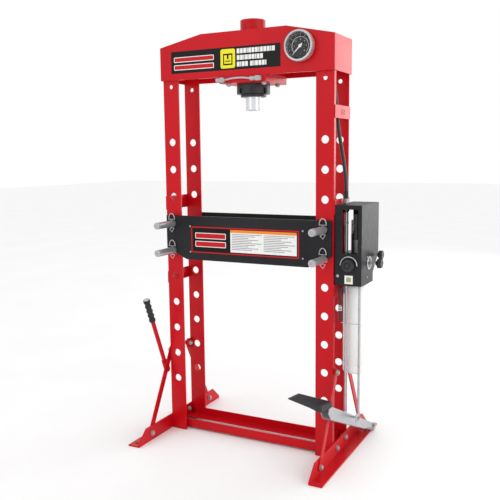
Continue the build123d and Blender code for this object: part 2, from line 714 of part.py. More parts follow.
# ---------------------------------------------------------------- stored pump lever
def make_lever():
    """The hand pump's lever, kept in a sleeve on the left front brace."""
    lean = Pos(lever_x, lever_foot_y, lever_foot_z) * Rot(lever_lean, 0, 0)
    sleeve = rod_z(sleeve_d, 0, sleeve_length, 0, 0)
    sleeve -= rod_z(lever_tube_d + 1, 4, sleeve_length + 1, 0, 0)
    brace_face = -(foot_outer_x + brace_wall) - lever_x
    saddle = block(sleeve_d / 2 - 3, brace_face, -9, 9, 6, sleeve_length - 8)
    saddle -= rod_z(lever_tube_d + 1, 4, sleeve_length + 1, 0, 0)
    keep("lever_sleeve", lean * (sleeve + saddle))
    keep("lever_tube", lean * rod_z(lever_tube_d, 4, lever_length - grip_length + 30, 0, 0))
    grip = rod_z(grip_d, lever_length - grip_length, lever_length, 0, 0)
    grip -= rod_z(lever_tube_d, lever_length - grip_length - 1,
                  lever_length - grip_length + 30, 0, 0)
    for i in range(4):
        groove = Torus(grip_d / 2 + 5, 6.5)
        grip -= Pos(0, 0, lever_length - grip_length + 22 + 23 * i) * groove
    keep("lever_grip", lean * grip)


# ---------------------------------------------------------------- hose
def make_hose():
    """The oil hose from the pump, up inside the right posts, to the head."""
    points = [Vector(*p) for p in hose_points]
    radii = []
    for before, corner, after in zip(points, points[1:], points[2:]):
        turn = radians((corner - before).get_angle(after - corner))
        shorter = min((corner - before).length, (after - corner).length)
        radii.append(0.45 * shorter / tan(turn / 2))
    path = FilletPolyline(*hose_points, radius=radii)
    hose = sweep(Plane(path @ 0, z_dir=path % 0) * Circle(hose_d / 2), path=path)
    expected = pi * (hose_d / 2) ** 2 * path.length
    print("hose length", round(path.length, 1), "volume ratio", round(hose.volume / expected, 4))
    print("hose radii", [round(r) for r in radii])
    keep("oil_hose", hose)
    x, y, z = hose_points[0]
    lower = hex_z(hose_d + 7, z - 18, z, x, y)
    lower += rod_z(12, block_top_z, z - 18, x, y)
    end_x, end_y, end_z = hose_points[-1]
    upper = hex_x(hose_d + 7, end_x - 20, end_x, end_y, end_z)
    upper += rod_x(12, end_x - 20, cylinder_od / 2 - 1, end_y, end_z)
    upper -= rod_z(cylinder_od, end_z - 20, end_z + 20, 0, 0)
    keep("hose_fittings", lower, upper)


make_posts()
make_head()
make_base()
make_ties()
make_bolts()
make_ram()
make_feed_pipe()
make_gauge()
make_bed()
make_pump_cover()
make_pump()
make_knobs()
make_pedal()
make_lever()
make_hose()

os.makedirs("parts", exist_ok=True)
for node, shape in parts.items():
    export_step(shape, f"parts/{node}.step")
print(len(parts), "nodes written")
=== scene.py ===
import json
import math
import bmesh
import bpy
from mathutils import Matrix, Vector

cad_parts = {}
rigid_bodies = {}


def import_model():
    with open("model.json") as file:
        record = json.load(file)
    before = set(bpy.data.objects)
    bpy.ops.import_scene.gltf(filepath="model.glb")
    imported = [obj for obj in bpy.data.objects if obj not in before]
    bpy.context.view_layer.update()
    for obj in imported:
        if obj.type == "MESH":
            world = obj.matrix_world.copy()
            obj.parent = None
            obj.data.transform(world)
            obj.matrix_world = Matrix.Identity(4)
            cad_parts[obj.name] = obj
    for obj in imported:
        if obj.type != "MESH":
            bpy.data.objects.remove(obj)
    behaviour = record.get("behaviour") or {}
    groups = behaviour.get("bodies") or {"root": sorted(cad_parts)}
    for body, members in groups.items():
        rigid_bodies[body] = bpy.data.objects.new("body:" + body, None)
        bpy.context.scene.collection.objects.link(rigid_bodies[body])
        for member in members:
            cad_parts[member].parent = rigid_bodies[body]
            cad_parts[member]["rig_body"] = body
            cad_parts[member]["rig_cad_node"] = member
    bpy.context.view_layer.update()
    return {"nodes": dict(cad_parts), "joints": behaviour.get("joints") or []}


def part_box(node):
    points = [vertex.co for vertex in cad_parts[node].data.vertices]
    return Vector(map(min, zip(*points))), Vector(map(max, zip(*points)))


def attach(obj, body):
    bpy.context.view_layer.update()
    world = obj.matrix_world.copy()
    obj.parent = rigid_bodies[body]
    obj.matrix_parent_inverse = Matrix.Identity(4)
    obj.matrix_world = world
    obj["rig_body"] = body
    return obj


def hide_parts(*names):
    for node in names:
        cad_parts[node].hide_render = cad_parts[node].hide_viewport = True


bl_info = {
    "name": "Hydraulic shop press",
    "version": (1, 0, 0),
    "blender": (4, 5, 0),
    "location": "View3D > Sidebar > Press",
    "description": "Finishes a packed shop press with paint, labels, gauge, pump and hose detail",
    "category": "Object",
}

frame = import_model()
NODES = frame["nodes"]
JOINTS = {joint["name"]: joint for joint in frame["joints"]}
MM = 0.001


# ---------------------------------------------------------------- sizes and colours
class PRESS_PG_sizes(bpy.types.PropertyGroup):
    """Sizes of the detail that the finish adds, in metres."""
    edge: bpy.props.FloatProperty(
        name="Edge round", description="Rounding of sheet and plate edges",
        default=1.2 * MM, unit="LENGTH")
    label_proud: bpy.props.FloatProperty(
        name="Label thickness", description="How far a label stands off its plate",
        default=0.4 * MM, unit="LENGTH")
    clip_wire: bpy.props.FloatProperty(
        name="Clip wire", description="Wire diameter of the bed pin clips",
        default=3.6 * MM, unit="LENGTH")
    tread_rib: bpy.props.FloatProperty(
        name="Tread rib", description="Height of the ribs on the pedal's tread",
        default=1.6 * MM, unit="LENGTH")
    hose: bpy.props.FloatProperty(
        name="Hose diameter", description="Outer diameter of the oil hose",
        default=15 * MM, unit="LENGTH")


class PRESS_PG_colours(bpy.types.PropertyGroup):
    """Base colours of the main finishes."""
    red: bpy.props.FloatVectorProperty(
        name="Frame red", description="Gloss paint of the frame", subtype="COLOR",
        default=(0.54, 0.002, 0.008))
    black: bpy.props.FloatVectorProperty(
        name="Bed black", description="Powder coat of the bed and pump cover", subtype="COLOR",
        default=(0.016, 0.016, 0.018))
    zinc: bpy.props.FloatVectorProperty(
        name="Zinc", description="Plated pins, bolts and rods", subtype="COLOR",
        default=(0.45, 0.45, 0.47))
    tank: bpy.props.FloatVectorProperty(
        name="Tank", description="Oil tank plastic", subtype="COLOR",
        default=(0.87, 0.875, 0.86))
    label_yellow: bpy.props.FloatVectorProperty(
        name="Label yellow", description="Yellow panel of the head label", subtype="COLOR",
        default=(0.86, 0.78, 0.02))


# ---------------------------------------------------------------- materials
MATERIALS = {}


def node_link(tree, source, target):
    """Joins two sockets."""
    tree.links.new(source, target)


def new_material(name, colour, rough, metallic=0.0):
    """A principled material with Object coordinates ready for its patterns."""
    material = bpy.data.materials.new(name)
    material.use_nodes = True
    tree = material.node_tree
    shader = tree.nodes["Principled BSDF"]
    shader.inputs["Base Color"].default_value = (*colour, 1)
    shader.inputs["Roughness"].default_value = rough
    shader.inputs["Metallic"].default_value = metallic
    coords = tree.nodes.new("ShaderNodeTexCoord")
    coords.name = "Place"
    MATERIALS[name] = material
    return tree, shader


def pattern(tree, scale, detail=4.0, stretch=(1, 1, 1), rough=0.55):
    """A noise pattern on the object's own coordinates, stretched along an axis."""
    mapping = tree.nodes.new("ShaderNodeMapping")
    mapping.inputs["Scale"].default_value = stretch
    noise = tree.nodes.new("ShaderNodeTexNoise")
    noise.inputs["Scale"].default_value = scale
    noise.inputs["Detail"].default_value = detail
    noise.inputs["Roughness"].default_value = rough
    node_link(tree, tree.nodes["Place"].outputs["Object"], mapping.inputs["Vector"])
    node_link(tree, mapping.outputs["Vector"], noise.inputs["Vector"])
    return noise.outputs["Fac"]


def ramp(tree, value, low, high, start=0.35, end=0.65):
    """Maps a pattern between two colours."""
    node = tree.nodes.new("ShaderNodeValToRGB")
    node.color_ramp.elements[0].position = start
    node.color_ramp.elements[0].color = (*low, 1)
    node.color_ramp.elements[1].position = end
    node.color_ramp.elements[1].color = (*high, 1)
    node_link(tree, value, node.inputs["Fac"])
    return node.outputs["Color"]


def levels(tree, value, low, high):
    """Maps a pattern from 0..1 to a range, for roughness."""
    node = tree.nodes.new("ShaderNodeMapRange")
    node.inputs["To Min"].default_value = low
    node.inputs["To Max"].default_value = high
    node_link(tree, value, node.inputs["Value"])
    return node.outputs["Result"]


def relief(tree, shader, *layers):
    """Stacks bump layers, each (pattern, strength, height in metres)."""
    below = None
    for value, strength, height in layers:
        bump = tree.nodes.new("ShaderNodeBump")
        bump.inputs["Strength"].default_value = strength
        bump.inputs["Distance"].default_value = height
        node_link(tree, value, bump.inputs["Height"])
        if below is not None:
            node_link(tree, below, bump.inputs["Normal"])
        below = bump.outputs["Normal"]
    node_link(tree, below, shader.inputs["Normal"])


def shade(colour, factor):
    """A colour made lighter or darker."""
    return tuple(min(1.0, channel * factor) for channel in colour)


def gloss_paint(name, colour):
    """Sprayed gloss paint: faint orange peel, slight colour drift and dust."""
    tree, shader = new_material(name, colour, 0.3)
    drift = pattern(tree, 3.0, 5)
    node_link(tree, ramp(tree, drift, shade(colour, 0.93), shade(colour, 1.05)),
              shader.inputs["Base Color"])
    node_link(tree, levels(tree, pattern(tree, 14.0, 6), 0.26, 0.40),
              shader.inputs["Roughness"])
    shader.inputs["Specular IOR Level"].default_value = 0.18
    shader.inputs["Coat Weight"].default_value = 0.05
    shader.inputs["Coat Roughness"].default_value = 0.16
    relief(tree, shader, (pattern(tree, 420.0, 2), 0.10, 0.0004),
           (pattern(tree, 35.0, 2), 0.05, 0.002))


def powder_coat(name, colour):
    """Satin powder coat with a fine pebble."""
    tree, shader = new_material(name, colour, 0.45)
    shader.inputs["Specular IOR Level"].default_value = 0.16
    node_link(tree, ramp(tree, pattern(tree, 5.0, 5), shade(colour, 0.85), shade(colour, 1.35)),
              shader.inputs["Base Color"])
    node_link(tree, levels(tree, pattern(tree, 60.0, 4), 0.36, 0.52),
              shader.inputs["Roughness"])
    relief(tree, shader, (pattern(tree, 900.0, 3), 0.22, 0.0003),
           (pattern(tree, 120.0, 2), 0.06, 0.0006))


def plated(name, colour, rough, stretch=(1, 1, 1), mottle=1.07):
    """Zinc or nickel plate: cloudy tone, drawn grain and uneven gloss."""
    tree, shader = new_material(name, colour, rough, 0.62)
    node_link(tree, ramp(tree, pattern(tree, 45.0, 6), shade(colour, 1 / mottle),
                         shade(colour, mottle)), shader.inputs["Base Color"])
    node_link(tree, levels(tree, pattern(tree, 160.0, 3, stretch), rough * 0.75, rough * 1.4),
              shader.inputs["Roughness"])
    relief(tree, shader, (pattern(tree, 700.0, 2, stretch), 0.12, 0.0002))


def moulded(name, colour, rough, grain=500.0):
    """Moulded plastic or rubber with a fine grain and handling sheen."""
    tree, shader = new_material(name, colour, rough)
    shader.inputs["Specular IOR Level"].default_value = 0.3
    node_link(tree, ramp(tree, pattern(tree, 22.0, 5), shade(colour, 0.8), shade(colour, 1.35)),
              shader.inputs["Base Color"])
    node_link(tree, levels(tree, pattern(tree, 40.0, 5), rough * 0.85, rough * 1.2),
              shader.inputs["Roughness"])
    relief(tree, shader, (pattern(tree, grain, 3), 0.25, 0.0003))


def tank_plastic(name, colour):
    """Milky polythene with flow marks, lit through."""
    tree, shader = new_material(name, colour, 0.36)
    node_link(tree, ramp(tree, pattern(tree, 9.0, 4, (1, 1, 0.2)), shade(colour, 0.95),
                         shade(colour, 1.04)), shader.inputs["Base Color"])
    shader.inputs["Subsurface Weight"].default_value = 0.35
    shader.inputs["Subsurface Radius"].default_value = (0.02, 0.02, 0.018)
    shader.inputs["Subsurface Scale"].default_value = 0.6
    relief(tree, shader, (pattern(tree, 26.0, 3, (1, 1, 0.3)), 0.18, 0.002),
           (pattern(tree, 600.0, 2), 0.08, 0.0002))


def printed(name, colour, rough=0.35):
    """Ink or vinyl on a label, with slight print unevenness."""
    tree, shader = new_material(name, colour, rough)
    shader.inputs["Specular IOR Level"].default_value = 0.2
    node_link(tree, ramp(tree, pattern(tree, 80.0, 4), shade(colour, 0.94), shade(colour, 1.03)),
              shader.inputs["Base Color"])
    relief(tree, shader, (pattern(tree, 300.0, 2), 0.05, 0.0002))


def lens_glass(name):
    """Clear gauge lens."""
    tree, shader = new_material(name, (0.97, 0.98, 0.98), 0.03)
    shader.inputs["Alpha"].default_value = 0.02
    shader.inputs["IOR"].default_value = 1.49
    shader.inputs["Specular IOR Level"].default_value = 0.2
    relief(tree, shader, (pattern(tree, 12.0, 2), 0.02, 0.0005))
    MATERIALS[name].surface_render_method = "BLENDED"


def hose_rubber(name):
    """Hose cover with a wrapped-cloth impression on its object coordinates."""
    tree, shader = new_material(name, (0.018, 0.018, 0.019), 0.42)
    wrap = tree.nodes.new("ShaderNodeTexWave")
    wrap.inputs["Scale"].default_value = 70.0
    wrap.inputs["Distortion"].default_value = 1.2
    wrap.bands_direction = "DIAGONAL"
    node_link(tree, tree.nodes["Place"].outputs["Object"], wrap.inputs["Vector"])
    node_link(tree, levels(tree, pattern(tree, 30.0, 4), 0.34, 0.5), shader.inputs["Roughness"])
    relief(tree, shader, (wrap.outputs["Fac"], 0.12, 0.0003), (pattern(tree, 500.0), 0.15, 0.0002))


def make_materials(colours):
    """Every finish of the press, named by the record's slots where one fits."""
    gloss_paint("red_paint", tuple(colours.red))
    powder_coat("black_paint", tuple(colours.black))
    plated("zinc", tuple(colours.zinc), 0.30)
    plated("zinc_drawn", tuple(colours.zinc), 0.26, (1, 1, 0.04))
    plated("chrome_rod", (0.72, 0.74, 0.77), 0.07, (0.05, 0.05, 1), 1.03)
    plated("gauge_steel", (0.52, 0.52, 0.53), 0.26)
    plated("blackened_steel", (0.035, 0.035, 0.038), 0.34)
    plated("machined_steel", (0.55, 0.55, 0.56), 0.22, (0.1, 0.1, 1))
    plated("motor_alloy", (0.46, 0.47, 0.48), 0.45)
    plated("spring_steel", (0.05, 0.05, 0.053), 0.36)
    moulded("black_rubber", (0.022, 0.022, 0.024), 0.55)
    moulded("black_plastic", (0.026, 0.026, 0.028), 0.42)
    moulded("seal_rubber", (0.02, 0.02, 0.02), 0.5)
    hose_rubber("hose_cover")
    tank_plastic("tank_plastic", tuple(colours.tank))
    printed("dial_black", (0.004, 0.004, 0.005), 0.4)
    printed("needle_white", (0.86, 0.86, 0.86), 0.35)
    printed("label_black", (0.003, 0.003, 0.004), 0.3)
    printed("label_white", (0.84, 0.84, 0.83), 0.32)
    printed("label_yellow", tuple(colours.label_yellow), 0.30)
    printed("label_orange", (0.83, 0.26, 0.03), 0.32)
    printed("label_red", (0.55, 0.006, 0.012), 0.32)
    printed("label_olive", (0.36, 0.42, 0.16), 0.4)
    printed("label_grey", (0.30, 0.30, 0.31), 0.4)
    lens_glass("gauge_glass")


def dress(obj, material):
    """Gives a piece one finish all over."""
    obj.data.materials.clear()
    obj.data.materials.append(MATERIALS[material])


# ---------------------------------------------------------------- modelling helpers
def clear_selection():
    """Leaves edit mode with nothing selected."""
    if bpy.context.object is not None and bpy.context.object.mode != "OBJECT":
        bpy.ops.object.mode_set(mode="OBJECT")
    bpy.ops.object.select_all(action="DESELECT")


def pick(obj):
    """Makes one object the selected and active one."""
    clear_selection()
    obj.select_set(True)
    bpy.context.view_layer.objects.active = obj


def settle(obj):
    """Puts a piece's place in its mesh."""
    pick(obj)
    bpy.ops.object.transform_apply(location=True, rotation=True, scale=True)


def recalculate(obj):
    """Merges doubles and turns the faces outwards."""
    pick(obj)
    bpy.ops.object.mode_set(mode="EDIT")
    bpy.ops.mesh.select_all(action="SELECT")
    bpy.ops.mesh.remove_doubles(threshold=1e-5)
    bpy.ops.mesh.normals_make_consistent(inside=False)
    bpy.ops.object.mode_set(mode="OBJECT")


def rounded(obj, width, segments=2, angle=40):
    """Rounds the sharp edges with an applied bevel."""
    pick(obj)
    bevel = obj.modifiers.new("Round", "BEVEL")
    bevel.width = width
    bevel.segments = segments
    bevel.limit_method = "ANGLE"
    bevel.angle_limit = math.radians(angle)
    bpy.ops.object.modifier_apply(modifier="Round")
    smooth(obj)
    even = obj.modifiers.new("Even", "WEIGHTED_NORMAL")
    even.keep_sharp = True
    bpy.ops.object.modifier_apply(modifier="Even")


def smooth(obj, angle=35):
    """Smooth shading that keeps the sharp edges."""
    pick(obj)
    bpy.ops.object.shade_smooth_by_angle(angle=math.radians(angle))


def block_piece(name, low, high, edge=0.0, segments=2):
    """A box between two corners, with rounded edges."""
    clear_selection()
    low, high = Vector(low), Vector(high)
    bpy.ops.mesh.primitive_cube_add(size=1, location=(low + high) / 2)
    obj = bpy.context.object
    obj.name = name
    obj.scale = [max(abs(v), 1e-6) for v in (high - low)]
    settle(obj)
    if edge:
        rounded(obj, edge, segments)
    return obj


def turned(name, rings, sides=40, edge=0.0, hollow=False):
    """A turned piece along +Z at the origin, drawn ring by ring as (radius, height)."""
    clear_selection()
    radius, height = rings[0]
    bpy.ops.mesh.primitive_circle_add(vertices=sides, radius=radius, location=(0, 0, height),
                                      fill_type="NOTHING")
    obj = bpy.context.object
    obj.name = name
    settle(obj)
    pick(obj)
    bpy.ops.object.mode_set(mode="EDIT")
    bpy.ops.mesh.select_all(action="SELECT")
    if not hollow:
        bpy.ops.mesh.edge_face_add()
    for next_radius, next_height in rings[1:]:
        bpy.ops.mesh.extrude_edges_move(
            TRANSFORM_OT_translate={"value": (0, 0, next_height - height)})
        scale = next_radius / radius
        bpy.ops.transform.resize(value=(scale, scale, 1), center_override=(0, 0, next_height))
        radius, height = next_radius, next_height
    if hollow:
        bpy.ops.mesh.select_all(action="SELECT")
        bpy.ops.mesh.remove_doubles(threshold=1e-6)
    else:
        bpy.ops.mesh.edge_face_add()
        bpy.ops.mesh.select_all(action="SELECT")
    bpy.ops.mesh.normals_make_consistent(inside=False)
    bpy.ops.object.mode_set(mode="OBJECT")
    if edge:
        rounded(obj, edge)
    smooth(obj)
    return obj


def squeezed(obj, wanted, factors):
    """Scales the chosen corners of a piece about its origin."""
    pick(obj)
    bpy.ops.object.mode_set(mode="EDIT")
    bpy.ops.mesh.select_mode(type="VERT")
    bpy.ops.mesh.select_all(action="DESELECT")
    mesh = bmesh.from_edit_mesh(obj.data)
    for vert in mesh.verts:
        vert.select = wanted(vert.co)
    mesh.select_flush(True)
    bmesh.update_edit_mesh(obj.data)
    bpy.ops.transform.resize(value=factors, center_override=(0, 0, 0))
    bpy.ops.object.mode_set(mode="OBJECT")


def aim(obj, point, direction):
    """Lays a piece made along +Z on a line from point along direction."""
    turn = Vector((0, 0, 1)).rotation_difference(Vector(direction))
    obj.matrix_world = Matrix.Translation(Vector(point)) @ turn.to_matrix().to_4x4()
    settle(obj)
    return obj


def hexagon(name, across, height, washer=0.0):
    """A hexagon head along +Z with a chamfered crown, on an optional washer."""
    radius = across / math.sqrt(3)
    clear_selection()
    bpy.ops.mesh.primitive_cylinder_add(vertices=6, radius=radius, depth=height,
                                        location=(0, 0, washer + height / 2))
    obj = bpy.context.object
    obj.name = name
    settle(obj)
    pick(obj)
    bpy.ops.object.mode_set(mode="EDIT")
    bpy.ops.mesh.select_all(action="DESELECT")
    mesh = bmesh.from_edit_mesh(obj.data)
    for face in mesh.faces:
        face.select = face.normal.z > 0.9
    bmesh.update_edit_mesh(obj.data)
    bpy.ops.mesh.inset(thickness=across * 0.09, depth=across * 0.03)
    bpy.ops.object.mode_set(mode="OBJECT")
    rounded(obj, across * 0.02, 1, 20)
    if washer:
        plate = turned(name + "_washer", [(across * 0.62, 0), (across * 0.62, washer)],
                       24, washer * 0.25)
        obj = joined(name, [obj, plate])
    return obj


def joined(name, objs):
    """Joins pieces of one finish into one object."""
    clear_selection()
    for obj in objs:
        obj.select_set(True)
    bpy.context.view_layer.objects.active = objs[0]
    if len(objs) > 1:
        bpy.ops.object.join()
    objs[0].name = name
    return objs[0]


def copied(obj, name):
    """A copy with its own mesh."""
    clear_selection()
    twin = obj.copy()
    twin.data = obj.data.copy()
    twin.name = name
    bpy.context.scene.collection.objects.link(twin)
    return twin


def wire_piece(name, points, diameter, closed=False, smooth_path=True, rings=3):
    """A round wire along points, as a mesh."""
    curve = bpy.data.curves.new(name, "CURVE")
    curve.dimensions = "3D"
    curve.bevel_depth = diameter / 2
    curve.bevel_resolution = rings
    curve.resolution_u = 8
    curve.use_fill_caps = not closed
    spline = curve.splines.new("NURBS" if smooth_path else "POLY")
    spline.points.add(len(points) - 1)
    for target, point in zip(spline.points, points):
        target.co = (*point, 1)
    spline.use_cyclic_u = closed
    if smooth_path:
        spline.order_u = 3
        spline.use_endpoint_u = not closed
    obj = bpy.data.objects.new(name, curve)
    bpy.context.scene.collection.objects.link(obj)
    pick(obj)
    bpy.ops.object.convert(target="MESH")
    obj = bpy.context.object
    obj.name = name
    recalculate(obj)
    smooth(obj, 60)
    return obj


def solids(node):
    """The boxes of a CAD node's separate solids, as (low, high), in order of place."""
    data = NODES[node].data
    mesh = bmesh.new()
    mesh.from_mesh(data)
    bmesh.ops.remove_doubles(mesh, verts=mesh.verts, dist=1e-6)
    seen, found = set(), []
    for start in mesh.verts:
        if start in seen:
            continue
        stack, island = [start], []
        seen.add(start)
        while stack:
            vert = stack.pop()
            island.append(vert.co.copy())
            for edge in vert.link_edges:
                other = edge.other_vert(vert)
                if other not in seen:
                    seen.add(other)
                    stack.append(other)
        low = Vector([min(p[i] for p in island) for i in range(3)])
        high = Vector([max(p[i] for p in island) for i in range(3)])
        found.append((low, high))
    mesh.free()
    return sorted(found, key=lambda box: tuple(round(v, 4) for v in box[0]))


def body_of_node(node):
    """The body that a CAD node belongs to."""
    return NODES[node]["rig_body"]


def place(obj, body, material=None, instead=()):
    """Finishes a piece: its material, body and the CAD nodes it stands for."""
    if material:
        dress(obj, material)
    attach(obj, body)
    if instead:
        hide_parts(*instead)
    return obj


def merged(node):
    """A copy of a CAD node with its loose triangles joined into whole faces."""
    obj = copied(NODES[node], node + "_finished")
    obj.parent = None
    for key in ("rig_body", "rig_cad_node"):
        if key in obj:
            del obj[key]
    pick(obj)
    bpy.ops.object.mode_set(mode="EDIT")
    bpy.ops.mesh.select_all(action="SELECT")
    bpy.ops.mesh.remove_doubles(threshold=2e-6)
    bpy.ops.mesh.dissolve_limited(angle_limit=math.radians(1.5))
    bpy.ops.object.mode_set(mode="OBJECT")
    return obj


def softened(node, width, material, segments=2):
    """A merged copy of a CAD node with rounded edges."""
    obj = merged(node)
    rounded(obj, width, segments, 35)
    return place(obj, body_of_node(node), material, (node,))


def sizes():
    """The sizes set in the sidebar."""
    return bpy.context.scene.press_sizes


# ---------------------------------------------------------------- operators
RED_PLATES = ("post_front_left", "post_front_right", "post_rear_left", "post_rear_right",
              "head_front_plate", "head_rear_plate", "head_cross_plates", "ram_plate",
              "foot_left", "foot_right", "braces", "front_crossbar", "rear_crossbar",
              "tie_plates", "hose_guard")


class PRESS_OT_frame(bpy.types.Operator):
    """Rounds and paints the posts, head, feet, braces, crossbars and ties"""
    bl_idname = "press.frame"
    bl_label = "Frame"

    def execute(self, context):
        for node in RED_PLATES:
            softened(node, sizes().edge, "red_paint")
        return {"FINISHED"}


class PRESS_OT_bolts(bpy.types.Operator):
    """Sets a washer, a chamfered head or nut and a stud end at every frame bolt"""
    bl_idname = "press.bolts"
    bl_label = "Frame bolts"

    def execute(self, context):
        across = 19 * MM
        heads = []
        pattern_head = hexagon("bolt_pattern", across, 6.4 * MM, 1.6 * MM)
        stud = turned("stud", [(5.4 * MM, 0), (5.4 * MM, 10.6 * MM), (4.6 * MM, 11.4 * MM)], 20)
        pattern_head = joined("bolt_pattern", [pattern_head, stud])
        for index, (low, high) in enumerate(solids("frame_bolts")):
            size = high - low
            axis = min(range(3), key=lambda i: size[i])
            centre = (low + high) / 2
            outward = self.outward(axis, centre)
            direction = Vector((0, 0, 0))
            direction[axis] = outward
            seat = centre.copy()
            seat[axis] = low[axis] if outward > 0 else high[axis]
            head = copied(pattern_head, f"bolt_{index:02d}")
            head.matrix_world = Matrix.Rotation(0.37 * index, 4, "Z")
            settle(head)
            heads.append(aim(head, seat, direction))
        bpy.data.objects.remove(pattern_head)
        place(joined("frame_bolts_finished", heads), "frame", "zinc", ("frame_bolts",))
        return {"FINISHED"}

    @staticmethod
    def outward(axis, centre):
        """Nuts inside the feet face inwards, the rest face away from the frame."""
        if axis == 2:
            return -1
        inner_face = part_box("foot_right")[0].x
        inside = abs(centre[axis]) < inner_face
        return -math.copysign(1, centre[axis]) if inside else math.copysign(1, centre[axis])


class PRESS_OT_ram(bpy.types.Operator):
    """Finishes the cylinder, cap, ring nut, gland, chromed ram and feed pipe"""
    bl_idname = "press.ram"
    bl_label = "Ram"

    def execute(self, context):
        for node, material in (("cylinder_tube", "red_paint"), ("ring_nut", "blackened_steel"),
                               ("rod_gland", "blackened_steel")):
            softened(node, 0.8 * MM, material, 2)
        self.cylinder_cap()
        for node, material in (("piston_rod", "chrome_rod"), ("piston_head", "machined_steel"),
                               ("piston_seal", "seal_rubber"), ("ram_spring", "spring_steel")):
            dress(NODES[node], material)
        self.feed_pipe()
        return {"FINISHED"}

    def cylinder_cap(self):
        """The red crown with a filled plug screw in its middle."""
        low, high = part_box("cylinder_cap")
        tube_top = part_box("cylinder_tube")[1].z
        radius = (high.x - low.x) / 2
        bore = radius - 12 * MM
        rings = [(bore, low.z), (bore, tube_top), (radius, tube_top), (radius, high.z - 2 * MM),
                 (radius - 2 * MM, high.z), (12 * MM, high.z), (11 * MM, high.z - 2 * MM)]
        cap = turned("cylinder_crown", rings, 64)
        place(cap, "frame", "red_paint", ("cylinder_cap",))
        plug = hexagon("cap_plug", 12 * MM, 2 * MM)
        aim(plug, (0, 0, high.z - 2 * MM), (0, 0, 1))
        place(plug, "frame", "zinc")

    def feed_pipe(self):
        """Two banded fittings and the bent steel pipe between them."""
        low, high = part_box("feed_pipe")
        centre_z = (low.z + high.z) / 2
        y = low.y + 11 * MM
        pieces = []
        lengths = ((low.x, low.x + 40 * MM), (high.x - 50 * MM, high.x))
        for index, (start, end) in enumerate(lengths):
            length = end - start
            collar = turned(f"collar_{index}", [
                (6.2 * MM, 0), (8.6 * MM, 1.2 * MM), (8.6 * MM, length * 0.32),
                (7.2 * MM, length * 0.36), (7.2 * MM, length * 0.44), (9.2 * MM, length * 0.47),
                (9.2 * MM, length * 0.96), (8.0 * MM, length)], 32)
            nut = hexagon(f"union_{index}", 20 * MM, length * 0.34)
            aim(nut, (0, 0, length * 0.5), (0, 0, 1))
            fitting = joined(f"fitting_{index}", [collar, nut])
            aim(fitting, (start, y, centre_z), (1, 0, 0))
            stub = turned(f"port_{index}", [(7 * MM, 0), (7 * MM, high.y - y)], 24, 0.6 * MM)
            aim(stub, ((start + end) / 2, y, centre_z), (0, 1, 0))
            pieces += [fitting, stub]
        left, right = lengths[0][1] - 2 * MM, lengths[1][0] + 2 * MM
        middle = (left + right) / 2
        rise = 5 * MM
        pipe = wire_piece("pipe_run", [
            (left, y, centre_z), (left + 14 * MM, y, centre_z + 1 * MM),
            (left + 36 * MM, y - 1 * MM, centre_z + rise), (middle, y - 1 * MM, centre_z + rise),
            (right - 30 * MM, y - 1 * MM, centre_z + rise),
            (right - 10 * MM, y, centre_z + 1 * MM), (right, y, centre_z)], 8 * MM)
        place(joined("feed_pipe_finished", pieces + [pipe]), "frame", "zinc",
              ("feed_pipe",))


GAUGE_START, GAUGE_SWEEP = -135.0, 270.0
PRINT_EDGE = 0.06 * MM


